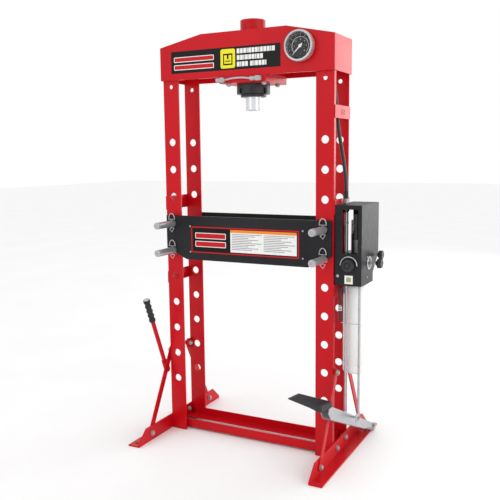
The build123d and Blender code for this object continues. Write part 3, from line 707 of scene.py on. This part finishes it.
class PRESS_OT_gauge(bpy.types.Operator):
    """Builds the pressure gauge: bezel, dial with its scale, needle and lens"""
    bl_idname = "press.gauge"
    bl_label = "Gauge"

    def execute(self, context):
        low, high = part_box("gauge_bezel")
        dial_low, dial_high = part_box("gauge_dial")
        self.centre = Vector(((low.x + high.x) / 2, 0, (low.z + high.z) / 2))
        self.front, self.back = low.y, high.y
        self.radius = (high.x - low.x) / 2
        self.dial_radius = (dial_high.x - dial_low.x) / 2
        self.dial_y = dial_low.y
        self.bezel()
        self.dial()
        self.needle()
        softened("gauge_case", 1.0 * MM, "gauge_steel")
        lens_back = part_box("gauge_lens")[1].y
        lens = turned("gauge_lens_finished", [
            (self.dial_radius - 1 * MM, 0), (self.dial_radius - 1 * MM, 2.0 * MM),
            (self.dial_radius * 0.8, 2.6 * MM), (self.dial_radius * 0.4, 2.9 * MM),
            (1 * MM, 3.0 * MM)], 64)
        aim(lens, (self.centre.x, lens_back, self.centre.z), (0, -1, 0))
        place(lens, "frame", "gauge_glass", ("gauge_lens",))
        dress(NODES["gauge_pipe"], "zinc")
        return {"FINISHED"}

    def bezel(self):
        depth = self.back - self.front
        outer, inner = self.radius, self.dial_radius - 2 * MM
        rings = [(outer - 3 * MM, 0), (outer - 1 * MM, 1.2 * MM), (outer, 4 * MM),
                 (outer, depth - 6 * MM), (outer - 1.2 * MM, depth - 2 * MM),
                 (outer - 4 * MM, depth), (inner + 1.2 * MM, depth - 0.6 * MM),
                 (inner, depth - 3 * MM), (inner, depth - 7 * MM), (outer - 3 * MM, depth - 8 * MM)]
        ring = turned("gauge_bezel_finished", rings + [(outer - 3 * MM, 0)], 72, hollow=True)
        recalculate(ring)
        smooth(ring, 30)
        aim(ring, (self.centre.x, self.back, self.centre.z), (0, -1, 0))
        place(ring, "frame", "gauge_steel", ("gauge_bezel",))

    def on_dial(self, degrees_from_top, radius):
        """A point on the dial's face, clockwise from the top."""
        angle = math.radians(degrees_from_top)
        return Vector((self.centre.x + radius * math.sin(angle), 0,
                       self.centre.z + radius * math.cos(angle)))

    def dial(self):
        thick = 2 * MM
        disc = turned("gauge_dial_finished", [(self.dial_radius - 0.5 * MM, 0),
                                              (self.dial_radius - 0.5 * MM, thick)], 64, 0.2 * MM)
        aim(disc, (self.centre.x, self.dial_y + thick, self.centre.z), (0, -1, 0))
        place(disc, "frame", "dial_black", ("gauge_dial",))
        marks = []
        steps = 40
        for index in range(steps + 1):
            bearing = GAUGE_START + GAUGE_SWEEP * index / steps
            major = index % 4 == 0
            marks.append(self.mark(index, bearing, self.dial_radius * 0.92,
                                   (5.0 if major else 2.6) * MM, (1.2 if major else 0.7) * MM))
        band = [self.on_dial(GAUGE_START + GAUGE_SWEEP * i / 44, self.dial_radius * 0.66)
                for i in range(45)]
        band = [(p.x, self.dial_y - 0.05 * MM, p.z) for p in band]
        marks.append(wire_piece("scale_band", band, 2.0 * MM, smooth_path=False, rings=1))
        for count, radius, height in ((10, 0.79, 5.6 * MM), (6, 0.47, 7.0 * MM)):
            for index in range(count + 1):
                bearing = GAUGE_START + GAUGE_SWEEP * index / count
                marks.append(self.number(str(index), bearing, self.dial_radius * radius, height))
        place(joined("gauge_scale", marks), "frame", "needle_white")

    def mark(self, index, bearing, radius, length, width):
        """A tick standing a hair off the dial."""
        bar = block_piece(f"tick_{index}", (-width / 2, -0.15 * MM, -length / 2),
                          (width / 2, 0.15 * MM, length / 2), PRINT_EDGE, 1)
        spot = self.on_dial(bearing, radius)
        bar.matrix_world = (Matrix.Translation((spot.x, self.dial_y - 0.15 * MM, spot.z))
                            @ Matrix.Rotation(math.radians(bearing), 4, "Y"))
        settle(bar)
        return bar

    def number(self, text, bearing, radius, height):
        """A printed number, upright on the dial."""
        clear_selection()
        bpy.ops.object.text_add()
        obj = bpy.context.object
        obj.data.body = text
        obj.data.size = height
        obj.data.align_x = "CENTER"
        obj.data.align_y = "CENTER"
        obj.data.extrude = 0.1 * MM
        spot = self.on_dial(bearing, radius)
        obj.matrix_world = (Matrix.Translation((spot.x, self.dial_y - 0.2 * MM, spot.z))
                            @ Matrix.Rotation(math.radians(90), 4, "X"))
        pick(obj)
        bpy.ops.object.convert(target="MESH")
        obj = bpy.context.object
        settle(obj)
        return obj

    def needle(self):
        """A tapered pointer with a tail and a hub, at its lower stop."""
        needle_low, needle_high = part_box("gauge_needle")
        y = needle_low.y
        reach = self.dial_radius * 0.84
        obj = block_piece("pointer", (-3.4 * MM, 0, -0.26 * reach), (3.4 * MM, 1.0 * MM, reach))
        squeezed(obj, lambda spot: spot.z > 0, (0.22, 1, 1))
        rounded(obj, 0.2 * MM, 1)
        obj.matrix_world = (Matrix.Translation((self.centre.x, y, self.centre.z))
                            @ Matrix.Rotation(math.radians(GAUGE_START), 4, "Y"))
        settle(obj)
        hub = turned("hub", [(6.5 * MM, 0), (6.5 * MM, 1.0 * MM), (4.0 * MM, 2.2 * MM),
                             (1.5 * MM, 2.6 * MM)], 32)
        aim(hub, (self.centre.x, y + 1.2 * MM, self.centre.z), (0, -1, 0))
        spindle = turned("spindle", [(1.5 * MM, 0), (1.5 * MM, needle_high.y - y)], 16)
        aim(spindle, (self.centre.x, y, self.centre.z), (0, 1, 0))
        place(joined("gauge_needle_finished", [obj, hub, spindle]), "needle", "needle_white",
              ("gauge_needle",))


class PRESS_OT_labels(bpy.types.Operator):
    """Lays the generic labels on the head and the bed"""
    bl_idname = "press.labels"
    bl_label = "Labels"

    def execute(self, context):
        self.head_label()
        self.bed_label()
        self.cover_label()
        return {"FINISHED"}

    def panel(self, name, x0, x1, z0, z1, face, layer, material, corner=0.0):
        """A thin flat panel in front of a plate face; higher layers lie on lower ones."""
        thick = sizes().label_proud
        front = face - thick * (1 + 0.35 * layer)
        obj = block_piece(name, (x0, front, z0), (x1, face, z1))
        if corner:
            self.round_corners(obj, corner)
        rounded(obj, PRINT_EDGE, 1)
        return place(obj, self.body, material)

    @staticmethod
    def round_corners(obj, radius):
        """Rounds the four corners seen from the front."""
        pick(obj)
        bpy.ops.object.mode_set(mode="EDIT")
        mesh = bmesh.from_edit_mesh(obj.data)
        for edge in mesh.edges:
            along = edge.verts[1].co - edge.verts[0].co
            edge.select = abs(along.y) > 0.9 * along.length
        bmesh.update_edit_mesh(obj.data)
        bpy.ops.mesh.bevel(offset=radius, segments=6)
        bpy.ops.object.mode_set(mode="OBJECT")

    def word_rows(self, name, x0, z0, height, gap, rows, face, layer, material):
        """Rows of plain blocks in place of words; each row lists its words' block counts."""
        bars = []
        thick = sizes().label_proud * (1 + 0.35 * layer)
        wide, between = height * 0.66, height * 0.13
        for row_index, row in enumerate(rows):
            x = x0
            top = z0 - row_index * (height + gap)
            for count in row:
                for block_index in range(count):
                    size = wide * (0.42 if (block_index + row_index) % 4 == 3 else 1.0)
                    bars.append(block_piece(f"{name}_{row_index}_{len(bars)}",
                                            (x, face - thick, top - height),
                                            (x + size, face, top)))
                    x += size + between
                x += height * 0.4
        words = joined(name, bars)
        rounded(words, PRINT_EDGE, 1)
        return place(words, self.body, material)

    def line_rows(self, name, x0, x1, z0, height, gap, count, face, layer, material):
        """Fine print as plain ruled lines, some of them stopping short."""
        thick = sizes().label_proud * (1 + 0.35 * layer)
        bars = []
        for index in range(count):
            top = z0 - index * (height + gap)
            end = x1 - (x1 - x0) * 0.11 * ((index * 7) % 5)
            bars.append(block_piece(f"{name}_{index}", (x0, face - thick, top - height),
                                    (end, face, top)))
        words = joined(name, bars)
        rounded(words, PRINT_EDGE, 1)
        return place(words, self.body, material)

    def head_label(self):
        """Black panel, a yellow tile with a press sign, and blocks in place of words."""
        self.body = "frame"
        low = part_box("head_front_plate")[0]
        face = low.y
        x0, x1, z0, z1 = -0.342, 0.171, low.z + 27 * MM, low.z + 118 * MM
        self.panel("head_label", x0, x1, z0, z1, face, 0, "label_black", 2 * MM)
        tile_x, tile_w = -0.100, 68 * MM
        self.panel("head_label_tile", tile_x, tile_x + tile_w, z0 + 7 * MM, z1 - 7 * MM, face, 1,
                   "label_yellow", 8 * MM)
        self.press_sign(tile_x + tile_w / 2, (z0 + z1) / 2, face)
        self.word_rows("head_label_rows", tile_x + tile_w + 8 * MM, z1 - 9 * MM, 19 * MM, 7 * MM,
                       [[13], [9], [4, 6]], face, 1, "label_white")
        for index, drop in enumerate((24, 56)):
            self.striped_plate(f"head_label_plate_{index}", x0 + 14 * MM, z1 - drop * MM,
                               196 * MM, 22 * MM, face, 1)

    def striped_plate(self, name, left, top, wide, tall, face, layer):
        """A white plate with a plain red stripe inside it."""
        self.panel(name, left, left + wide, top - tall, top, face, layer, "label_white", 4 * MM)
        self.panel(name + "_stripe", left + 3 * MM, left + wide - 3 * MM, top - tall + 3 * MM,
                   top - 3 * MM, face, layer + 1, "label_red", 2 * MM)

    def press_sign(self, x, z, face):
        """A plain sign of a press: two posts, a head, a bed and an arrow down."""
        bars = [((-22, 14), (22, 20)), ((-22, -22), (-17, 20)), ((17, -22), (22, 20)),
                ((-22, -26), (22, -20)), ((-4, -2), (4, 14)), ((-12, -12), (12, -8))]
        thick = sizes().label_proud * 1.8
        pieces = []
        for index, ((x0, z0), (x1, z1)) in enumerate(bars):
            pieces.append(block_piece(f"sign_{index}", (x + x0 * MM, face - thick, z + z0 * MM),
                                      (x + x1 * MM, face, z + z1 * MM)))
        sign = joined("head_label_sign", pieces)
        rounded(sign, PRINT_EDGE, 1)
        place(sign, self.body, "label_black")

    def bed_label(self):
        """Red border, black field and a white table with an orange heading."""
        self.body = "bed"
        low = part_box("bed_front_plate")[0]
        face = low.y
        x0, x1, z0, z1 = -0.260, 0.250, low.z + 33 * MM, low.z + 147 * MM
        border = 5 * MM
        self.panel("bed_label", x0, x1, z0, z1, face, 0, "label_red", 4 * MM)
        self.panel("bed_label_field", x0 + border, x1 - border, z0 + border, z1 - border, face, 1,
                   "label_black", 2 * MM)
        table_x = -0.066
        self.panel("bed_label_table", table_x, x1 - 10 * MM, z0 + 10 * MM, z1 - 8 * MM, face, 2,
                   "label_white")
        self.panel("bed_label_heading", table_x, x1 - 10 * MM, z1 - 20 * MM, z1 - 8 * MM, face, 3,
                   "label_orange")
        half = (x1 - 10 * MM - table_x) / 2
        for side, left in (("left", table_x + 7 * MM), ("right", table_x + half + 4 * MM)):
            self.line_rows(f"bed_label_lines_{side}", left, left + half - 12 * MM, z1 - 25 * MM,
                           3.0 * MM, 4.2 * MM, 10, face, 3, "label_grey")
        for index, drop in enumerate((26, 62)):
            self.striped_plate(f"bed_label_plate_{index}", x0 + 20 * MM, z1 - drop * MM,
                               152 * MM, 26 * MM, face, 2)

    def cover_label(self):
        """A small pale tile with a plain square, under the front knob."""
        self.body = "frame"
        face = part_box("pump_cover")[0].y
        knob_low, knob_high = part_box("air_valve_knob")
        x, top = (knob_low.x + knob_high.x) / 2, knob_low.z - 16 * MM
        self.panel("cover_label", x - 17 * MM, x + 17 * MM, top - 34 * MM, top, face, 0,
                   "label_white")
        self.panel("cover_label_square", x - 10 * MM, x + 10 * MM, top - 26 * MM, top - 8 * MM,
                   face, 1, "label_olive")


class PRESS_OT_bed(bpy.types.Operator):
    """Finishes the bed plates, spacers, screws, pull-out pins and wire clips"""
    bl_idname = "press.bed"
    bl_label = "Bed and pins"

    def execute(self, context):
        for node in ("bed_front_plate", "bed_rear_plate", "bed_spacers"):
            softened(node, sizes().edge, "black_paint")
        screws = []
        for index, (low, high) in enumerate(solids("bed_screws")):
            centre = (low + high) / 2
            outward = math.copysign(1, centre.y)
            seat = high.y if outward < 0 else low.y
            screw = turned(f"screw_{index}", [
                (4.4 * MM, 0), (4.4 * MM, 1.0 * MM), (3.6 * MM, 2.4 * MM),
                (2.6 * MM, 3.0 * MM), (1.8 * MM, 1.6 * MM)], 28)
            screws.append(aim(screw, (centre.x, seat, centre.z), (0, outward, 0)))
        place(joined("bed_screws_finished", screws), "bed", "zinc", ("bed_screws",))
        for side in ("left", "right"):
            for level in ("lower", "upper"):
                self.pin(f"bed_pin_{side}_{level}", f"pin_{side}_{level}")
        return {"FINISHED"}

    def pin(self, node, body):
        """A plated bar with turned ends, and its wire clip through a cross hole."""
        pair = solids(node)
        low, high = max(pair, key=lambda box: box[1].y - box[0].y)
        clip_low, clip_high = min(pair, key=lambda box: box[1].y - box[0].y)
        radius, length = (high.x - low.x) / 2, high.y - low.y
        x, z = (low.x + high.x) / 2, (low.z + high.z) / 2
        shaft = turned(node + "_shaft", [
            (4 * MM, 2.2 * MM), (5 * MM, 0.6 * MM), (radius - 2.4 * MM, 0),
            (radius - 0.6 * MM, 1 * MM),
            (radius, 2.6 * MM), (radius, 9 * MM), (radius - 0.7 * MM, 9.8 * MM),
            (radius - 0.7 * MM, 12 * MM), (radius, 12.8 * MM), (radius, length - 2.6 * MM),
            (radius - 2 * MM, length)], 48)
        aim(shaft, (x, low.y, z), (0, 1, 0))
        clip_y = (clip_low.y + clip_high.y) / 2
        wire = sizes().clip_wire
        waist, foot = z + radius + 2.4 * MM, z - radius - 2.4 * MM
        leg = wire_piece(node + "_clip_leg", [(x, clip_y, foot), (x, clip_y, z),
                                              (x, clip_y, waist)], wire, smooth_path=False)
        half, rise = 15 * MM, clip_high.z - wire / 2 - waist
        bow = [(x + half * math.cos(math.pi * i / 12), clip_y,
                waist + 2 * MM + (rise - 2 * MM) * math.sin(math.pi * i / 12))
               for i in range(13)]
        ring = wire_piece(node + "_clip_bow", bow, wire, closed=True, smooth_path=False)
        drop = 19 * MM
        hairpin = wire_piece(node + "_clip_hairpin", [
            (x, clip_y, foot), (x - 11 * MM, clip_y, foot - drop * 0.35),
            (x + 1 * MM, clip_y, foot - drop), (x + 12 * MM, clip_y, foot - 2 * MM)],
            wire, closed=True, smooth_path=False)
        clip = joined(node + "_clip", [leg, ring, hairpin])
        place(shaft, body, "zinc", (node,))
        place(clip, body, "gauge_steel")


class PRESS_OT_pump(bpy.types.Operator):
    """Finishes the pump cover, block, motor, tank, socket, knobs and collar"""
    bl_idname = "press.pump"
    bl_label = "Pump"

    def execute(self, context):
        softened("pump_cover", 1.0 * MM, "black_paint")
        for node, material in (("pump_block", "blackened_steel"), ("air_motor", "motor_alloy"),
                               ("socket_bracket", "blackened_steel")):
            softened(node, 0.8 * MM, material)
        dress(NODES["pump_plunger"], "zinc_drawn")
        self.socket()
        self.tank()
        self.front_knob()
        self.side_knobs()
        self.cover_fasteners()
        return {"FINISHED"}

    def socket(self):
        """The bottle-shaped lever socket, waisted above its pivot."""
        low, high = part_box("pump_socket")
        pivot = Vector(JOINTS["pump_stroke"]["pos_m"])
        radius = (high.x - low.x) / 2
        length = high.z - low.z
        neck = radius * 0.72
        body = turned("socket_bottle", [
            (radius * 0.8, 0), (radius, 3 * MM), (radius, length * 0.30), (neck, length * 0.42),
            (neck, length * 0.56), (radius * 0.94, length * 0.64), (radius, length * 0.96),
            (radius - 1 * MM, length), (radius - 3 * MM, length),
            (radius - 3.5 * MM, length * 0.66)], 40)
        aim(body, (pivot.x, pivot.y, low.z), (0, 0, 1))
        lug = block_piece("socket_lug",
                          (pivot.x - 5 * MM, pivot.y + radius * 0.6, pivot.z - 8 * MM),
                          (pivot.x + 5 * MM, high.y, pivot.z + 8 * MM), 1.5 * MM)
        place(joined("pump_socket_finished", [body, lug]), "socket", "blackened_steel",
              ("pump_socket",))

    def tank(self):
        """A blow-moulded tank with soft shoulders, a seam and a neck on top."""
        low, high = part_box("oil_tank")
        cover_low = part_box("pump_cover")[0].z
        centre = Vector(((low.x + high.x) / 2, (low.y + high.y) / 2, 0))
        radius = (high.x - low.x) / 2
        base, top = low.z, cover_low
        rings = [(radius - 14 * MM, base + 3 * MM), (radius - 9 * MM, base),
                 (radius - 4 * MM, base + 1.5 * MM), (radius - 1 * MM, base + 5 * MM),
                 (radius, base + 11 * MM), (radius, base + 30 * MM),
                 (radius - 0.9 * MM, base + 31.5 * MM), (radius - 0.9 * MM, base + 34 * MM),
                 (radius, base + 35.5 * MM), (radius, top - 22 * MM),
                 (radius - 1 * MM, top - 12 * MM), (radius - 4 * MM, top - 5 * MM),
                 (radius - 10 * MM, top - 1.5 * MM), (30 * MM, top - 0.5 * MM), (30 * MM, high.z)]
        tank = turned("oil_tank_finished", rings, 72)
        aim(tank, centre, (0, 0, 1))
        place(tank, "frame", "tank_plastic", ("oil_tank",))

    def front_knob(self):
        """A round black knob in a wire ring, with a recessed face."""
        low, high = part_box("air_valve_knob")
        x, z = (low.x + high.x) / 2, (low.z + high.z) / 2
        radius = (high.x - low.x) / 2
        depth = 18 * MM
        cover_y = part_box("pump_cover")[0].y
        knob = turned("valve_knob_body", [
            (radius - 2 * MM, 0), (radius, 2 * MM), (radius, depth * 0.6),
            (radius - 2 * MM, depth - 1.5 * MM), (radius - 5 * MM, depth),
            (radius * 0.56, depth), (radius * 0.50, depth - 3 * MM),
            (radius * 0.42, depth - 3 * MM),
            (radius * 0.36, depth - 1 * MM), (radius * 0.1, depth - 0.5 * MM)], 56)
        aim(knob, (x, cover_y - 4 * MM, z), (0, -1, 0))
        shaft = turned("valve_knob_shaft", [(5 * MM, 0), (5 * MM, high.y - cover_y + 4 * MM)], 24)
        aim(shaft, (x, cover_y - 4 * MM, z), (0, 1, 0))
        place(joined("air_valve_knob_finished", [knob, shaft]), "valve_knob", "black_plastic",
              ("air_valve_knob",))
        ring_radius = radius + 9 * MM
        start, sweep, count = -92, 184, 18
        points = []
        for index in range(count + 1):
            angle = math.radians(start + sweep * index / count)
            points.append((x + ring_radius * math.sin(angle), cover_y - 2.6 * MM,
                           z + ring_radius * math.cos(angle)))
        ring = wire_piece("knob_guard_wire", points, 5.2 * MM)
        place(ring, "frame", "gauge_steel")

    def lobed(self, name, radius, depth, lobes, cut):
        """A hand knob with scalloped sides and a dished face, along +Z."""
        knob = turned(name, [(radius * 0.5, 0), (radius * 0.55, depth * 0.2),
                             (radius - 1 * MM, depth * 0.26),
                             (radius, depth * 0.34), (radius, depth * 0.88),
                             (radius - 1.2 * MM, depth), (radius * 0.45, depth),
                             (radius * 0.4, depth - 1.4 * MM)], lobes * 8)
        columns = 8
        for column in range(columns):
            turn = 2 * math.pi * column / columns
            factor = 1 - cut / radius * (0.5 + 0.5 * math.cos(turn)) ** 2

            def on_column(spot, turn=turn):
                around = lobes * math.atan2(spot.y, spot.x) - turn
                apart = abs((around + math.pi) % (2 * math.pi) - math.pi)
                return math.hypot(spot.x, spot.y) > radius * 0.7 and apart < math.pi / columns

            squeezed(knob, on_column, (factor, factor, 1))
        smooth(knob, 50)
        return knob

    def side_knobs(self):
        cover_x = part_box("pump_cover")[1].x
        for node, body, lobes, cut in (("release_knob", "release", 6, 4 * MM),
                                       ("regulator_knob", "regulator", 8, 2.4 * MM)):
            low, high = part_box(node)
            y, z = (low.y + high.y) / 2, (low.z + high.z) / 2
            radius = (high.y - low.y) / 2
            depth = (24 if body == "release" else 22) * MM
            knob = self.lobed(node + "_grip", radius, depth, lobes, cut)
            aim(knob, (high.x - depth, y, z), (1, 0, 0))
            place(knob, body, "black_plastic", (node,))
            shaft_radius = (6 if body == "release" else 5) * MM
            shaft = turned(node + "_shaft", [
                (shaft_radius, 0), (shaft_radius, high.x - depth - low.x)], 28, 0.6 * MM)
            aim(shaft, (low.x, y, z), (1, 0, 0))
            place(shaft, body, "gauge_steel")
        low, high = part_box("release_knob")
        y, z = (low.y + high.y) / 2, (low.z + high.z) / 2
        ring = turned("valve_collar", [(15 * MM, 0), (27 * MM, 0), (27 * MM, 1.6 * MM),
                                       (25.5 * MM, 3.2 * MM), (21.5 * MM, 3.2 * MM),
                                       (20.2 * MM, 1.8 * MM), (20.2 * MM, 0)], 56, hollow=True)
        recalculate(ring)
        aim(ring, (cover_x + 0.2 * MM, y, z), (1, 0, 0))
        place(ring, "frame", "gauge_steel")

    def cover_fasteners(self):
        """Screws on the cover's face and side."""
        low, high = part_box("pump_cover")
        spots = [((low.x + 12 * MM, low.y, low.z + 38 * MM), (0, -1, 0), 6 * MM),
                 ((high.x, low.y + 75 * MM, low.z + 109 * MM), (1, 0, 0), 3.6 * MM),
                 ((high.x, low.y + 75 * MM, low.z + 27 * MM), (1, 0, 0), 3.6 * MM)]
        screws = []
        for index, (spot, direction, radius) in enumerate(spots):
            screw = turned(f"cover_screw_{index}", [
                (radius, 0), (radius, 0.9 * MM), (radius * 0.75, 1.9 * MM),
                (radius * 0.42, 2.2 * MM), (radius * 0.3, 1.1 * MM)], 24)
            screws.append(aim(screw, spot, direction))
        place(joined("cover_screws", screws), "frame", "zinc")


TREAD_SKEW = math.radians(-12)


class PRESS_OT_pedal(bpy.types.Operator):
    """Finishes the pedal arm, its ribbed tread, bracket, rods and spring"""
    bl_idname = "press.pedal"
    bl_label = "Pedal"

    def execute(self, context):
        softened("pedal_arm", 1.0 * MM, "zinc")
        softened("pedal_bracket", 0.7 * MM, "zinc")
        softened("pull_rod", 0.5 * MM, "zinc_drawn")
        softened("valve_rod", 0.5 * MM, "zinc_drawn")
        dress(NODES["pedal_spring"], "spring_steel")
        self.tread()
        self.pivot_nuts()
        return {"FINISHED"}

    def tread(self):
        """A moulded tread with grip ribs along it."""
        obj = merged("pedal_tread")
        rounded(obj, 2.6 * MM, 3, 30)
        low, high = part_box("pedal_tread")
        centre = Vector(((low.x + high.x) / 2, (low.y + high.y) / 2, high.z))
        ribs = []
        for index in range(7):
            across = (index - 3) * 8.4 * MM
            rib = block_piece(f"tread_rib_{index}", (-66 * MM, across - 2.0 * MM, -1 * MM),
                              (66 * MM, across + 2.0 * MM, sizes().tread_rib), 0.9 * MM)
            rib.matrix_world = (Matrix.Translation(centre)
                                @ Matrix.Rotation(TREAD_SKEW, 4, "Z"))
            settle(rib)
            ribs.append(rib)
        place(joined("pedal_tread_finished", [obj] + ribs), "pedal", "black_plastic",
              ("pedal_tread",))

    def pivot_nuts(self):
        """Nuts on both ends of the pedal's hinge pin."""
        low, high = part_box("pedal_bracket")
        pivot = Vector(JOINTS["pedal_press"]["pos_m"])
        nuts = []
        for index, (x, side) in enumerate(((low.x + 4 * MM, -1), (high.x - 4 * MM, 1))):
            nut = hexagon(f"pivot_nut_{index}", 13 * MM, 3.4 * MM, 0.6 * MM)
            nuts.append(aim(nut, (x, pivot.y, pivot.z), (side, 0, 0)))
        place(joined("pedal_pivot_nuts", nuts), "frame", "zinc")


HOSE_ROUTE = [
    (0.413, 0, 1.070), (0.413, 0, 1.128), (0.404, 0.003, 1.196), (0.393, 0.002, 1.264),
    (0.381, -0.001, 1.330), (0.373, 0, 1.396), (0.368, 0.001, 1.460), (0.361, -0.001, 1.522),
    (0.348, 0, 1.582), (0.320, 0.001, 1.634), (0.271, 0.001, 1.662), (0.213, 0, 1.670),
    (0.152, 0, 1.670),
]


class PRESS_OT_hose(bpy.types.Operator):
    """Runs the oil hose between its crimped fittings"""
    bl_idname = "press.hose"
    bl_label = "Oil hose"

    def execute(self, context):
        hose = wire_piece("oil_hose_finished", HOSE_ROUTE, sizes().hose, rings=7)
        place(hose, "frame", "hose_cover", ("oil_hose",))
        dress(NODES["hose_fittings"], "zinc")
        for name, start, direction in (("lower", HOSE_ROUTE[0], (0, 0, 1)),
                                       ("upper", HOSE_ROUTE[-1], (1, 0, 0))):
            outer = sizes().hose / 2 + 2 * MM
            collar = turned(f"hose_ferrule_{name}", [
                (outer - 1.2 * MM, 0), (outer, 1 * MM), (outer, 8 * MM), (outer - 0.9 * MM, 9 * MM),
                (outer - 0.9 * MM, 11 * MM), (outer, 12 * MM), (outer, 19 * MM),
                (outer - 0.9 * MM, 20 * MM), (outer - 0.9 * MM, 22 * MM), (outer, 23 * MM),
                (outer, 29 * MM), (outer - 1.4 * MM, 30 * MM)], 36)
            aim(collar, start, direction)
            finish = "blackened_steel" if name == "lower" else "zinc"
            place(collar, "frame", finish)
        return {"FINISHED"}


GRIP_LENGTH = 118 * MM


class PRESS_OT_lever(bpy.types.Operator):
    """Finishes the stored lever: tube, finger grip, end cap and sleeve"""
    bl_idname = "press.lever"
    bl_label = "Stored lever"

    def execute(self, context):
        axis = Vector(JOINTS["lever_draw"]["axis"]).normalized()
        low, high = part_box("lever_grip")
        x = (low.x + high.x) / 2
        radius = (high.x - low.x) / 2
        end = Vector((x, low.y + radius * axis.z, high.z + radius * axis.y))
        length = GRIP_LENGTH
        start = end - axis * length
        rings = [(radius * 0.72, 0), (radius * 0.9, 2 * MM), (radius * 0.96, 6 * MM)]
        for index in range(4):
            base = 12 * MM + 23 * MM * index
            rings += [(radius * 0.97, base), (radius * 0.84, base + 5 * MM),
                      (radius * 0.78, base + 10 * MM), (radius * 0.84, base + 15 * MM),
                      (radius * 0.99, base + 20 * MM)]
        rings += [(radius, length - 7 * MM), (radius * 0.97, length - 4 * MM),
                  (radius * 0.8, length - 3.4 * MM)]
        grip = turned("lever_grip_finished", rings, 44)
        aim(grip, start, axis)
        place(grip, "lever", "black_rubber", ("lever_grip",))
        cap = turned("lever_end_cap", [(radius * 0.86, 0), (radius * 0.86, 2 * MM),
                                       (radius * 0.7, 3.2 * MM), (radius * 0.3, 3.8 * MM)], 36)
        aim(cap, end - axis * 4.2 * MM, axis)
        place(cap, "lever", "gauge_steel")
        softened("lever_tube", 0.6 * MM, "red_paint")
        softened("lever_sleeve", 0.6 * MM, "red_paint")
        return {"FINISHED"}


WORLD_STRENGTH = 1.0
# name, place, aim (metres), side (metres) and power (watts)
LAMPS = (
    ("right_panel", (3.8, -0.6, 1.9), (0.2, 0, 0.9), 2.8, 34),
    ("rear_right_panel", (2.6, 5.2, 1.6), (0.3, 0, 0.9), 3.0, 80),
    ("front_panel", (-1.6, -4.2, 2.8), (0, 0, 0.9), 2.4, 12),
)
CAMERA_SPOT = (1.3538, -2.6849, 1.2514)
CAMERA_TURN = (27.174, 7.81, -0.6105)     # yaw, pitch and roll, degrees
CAMERA_LENS = 50.388


class PRESS_OT_stage(bpy.types.Operator):
    """Sets the pale floor, the soft lights and the camera"""
    bl_idname = "press.stage"
    bl_label = "Stage"

    def execute(self, context):
        clear_selection()
        bpy.ops.mesh.primitive_plane_add(size=40, location=(0, 6, -0.0005))
        floor = bpy.context.object
        floor.name = "floor"
        settle(floor)
        tree, shader = new_material("floor_white", (0.93, 0.93, 0.93), 0.9)
        node_link(tree, ramp(tree, pattern(tree, 2.0, 3), (0.92, 0.92, 0.92), (0.94, 0.94, 0.94)),
                  shader.inputs["Base Color"])
        dress(floor, "floor_white")
        world = bpy.data.worlds.new("studio")
        world.use_nodes = True
        world.node_tree.nodes["Background"].inputs["Color"].default_value = (1, 1, 1, 1)
        world.node_tree.nodes["Background"].inputs["Strength"].default_value = WORLD_STRENGTH
        context.scene.world = world
        for name, spot, target, size, power in LAMPS:
            self.lamp(name, spot, target, size, power)
        self.camera(context)
        return {"FINISHED"}

    def lamp(self, name, spot, target, size, power):
        """A square soft light aimed at a point."""
        data = bpy.data.lights.new(name, "AREA")
        data.size = size
        data.energy = power
        obj = bpy.data.objects.new(name, data)
        turn = (Vector(target) - Vector(spot)).to_track_quat("-Z", "Y")
        obj.matrix_world = Matrix.Translation(spot) @ turn.to_matrix().to_4x4()
        obj.visible_camera = False
        bpy.context.scene.collection.objects.link(obj)

    def camera(self, context):
        """The view from the front right, a little above the bed."""
        yaw, pitch, roll = (math.radians(value) for value in CAMERA_TURN)
        forward = Vector((-math.sin(yaw) * math.cos(pitch), math.cos(yaw) * math.cos(pitch),
                          -math.sin(pitch)))
        right = Vector((math.cos(yaw), math.sin(yaw), 0))
        up = right.cross(forward)
        level_right = math.cos(roll) * right + math.sin(roll) * up
        level_up = -math.sin(roll) * right + math.cos(roll) * up
        turn = Matrix((level_right, level_up, -forward)).transposed()
        data = bpy.data.cameras.new("camera")
        data.lens = CAMERA_LENS
        data.sensor_width = 36.0
        obj = bpy.data.objects.new("camera", data)
        obj.matrix_world = Matrix.Translation(CAMERA_SPOT) @ turn.to_4x4()
        context.scene.collection.objects.link(obj)
        context.scene.camera = obj
        context.scene.view_settings.view_transform = "Standard"


class PRESS_PT_panel(bpy.types.Panel):
    """Lists the makers in the sidebar"""
    bl_label = "Shop press"
    bl_idname = "PRESS_PT_panel"
    bl_space_type = "VIEW_3D"
    bl_region_type = "UI"
    bl_category = "Press"

    def draw(self, context):
        for maker in MAKERS:
            self.layout.operator(maker.bl_idname)
        for group in (context.scene.press_sizes, context.scene.press_colours):
            for name in group.bl_rna.properties.keys():
                if name not in ("rna_type", "name"):
                    self.layout.prop(group, name)


MAKERS = (PRESS_OT_frame, PRESS_OT_bolts, PRESS_OT_ram, PRESS_OT_gauge, PRESS_OT_labels,
          PRESS_OT_bed, PRESS_OT_pump, PRESS_OT_pedal, PRESS_OT_hose, PRESS_OT_lever,
          PRESS_OT_stage)
CLASSES = (PRESS_PG_sizes, PRESS_PG_colours) + MAKERS + (PRESS_PT_panel,)


def register():
    for item in CLASSES:
        bpy.utils.register_class(item)
    bpy.types.Scene.press_sizes = bpy.props.PointerProperty(type=PRESS_PG_sizes)
    bpy.types.Scene.press_colours = bpy.props.PointerProperty(type=PRESS_PG_colours)


def unregister():
    del bpy.types.Scene.press_colours
    del bpy.types.Scene.press_sizes
    for item in reversed(CLASSES):
        bpy.utils.unregister_class(item)


def main():
    register()
    make_materials(bpy.context.scene.press_colours)
    for maker in MAKERS:
        family, name = maker.bl_idname.split(".")
        getattr(getattr(bpy.ops, family), name)()
    bpy.context.view_layer.update()


if __name__ == "__main__":
    main()
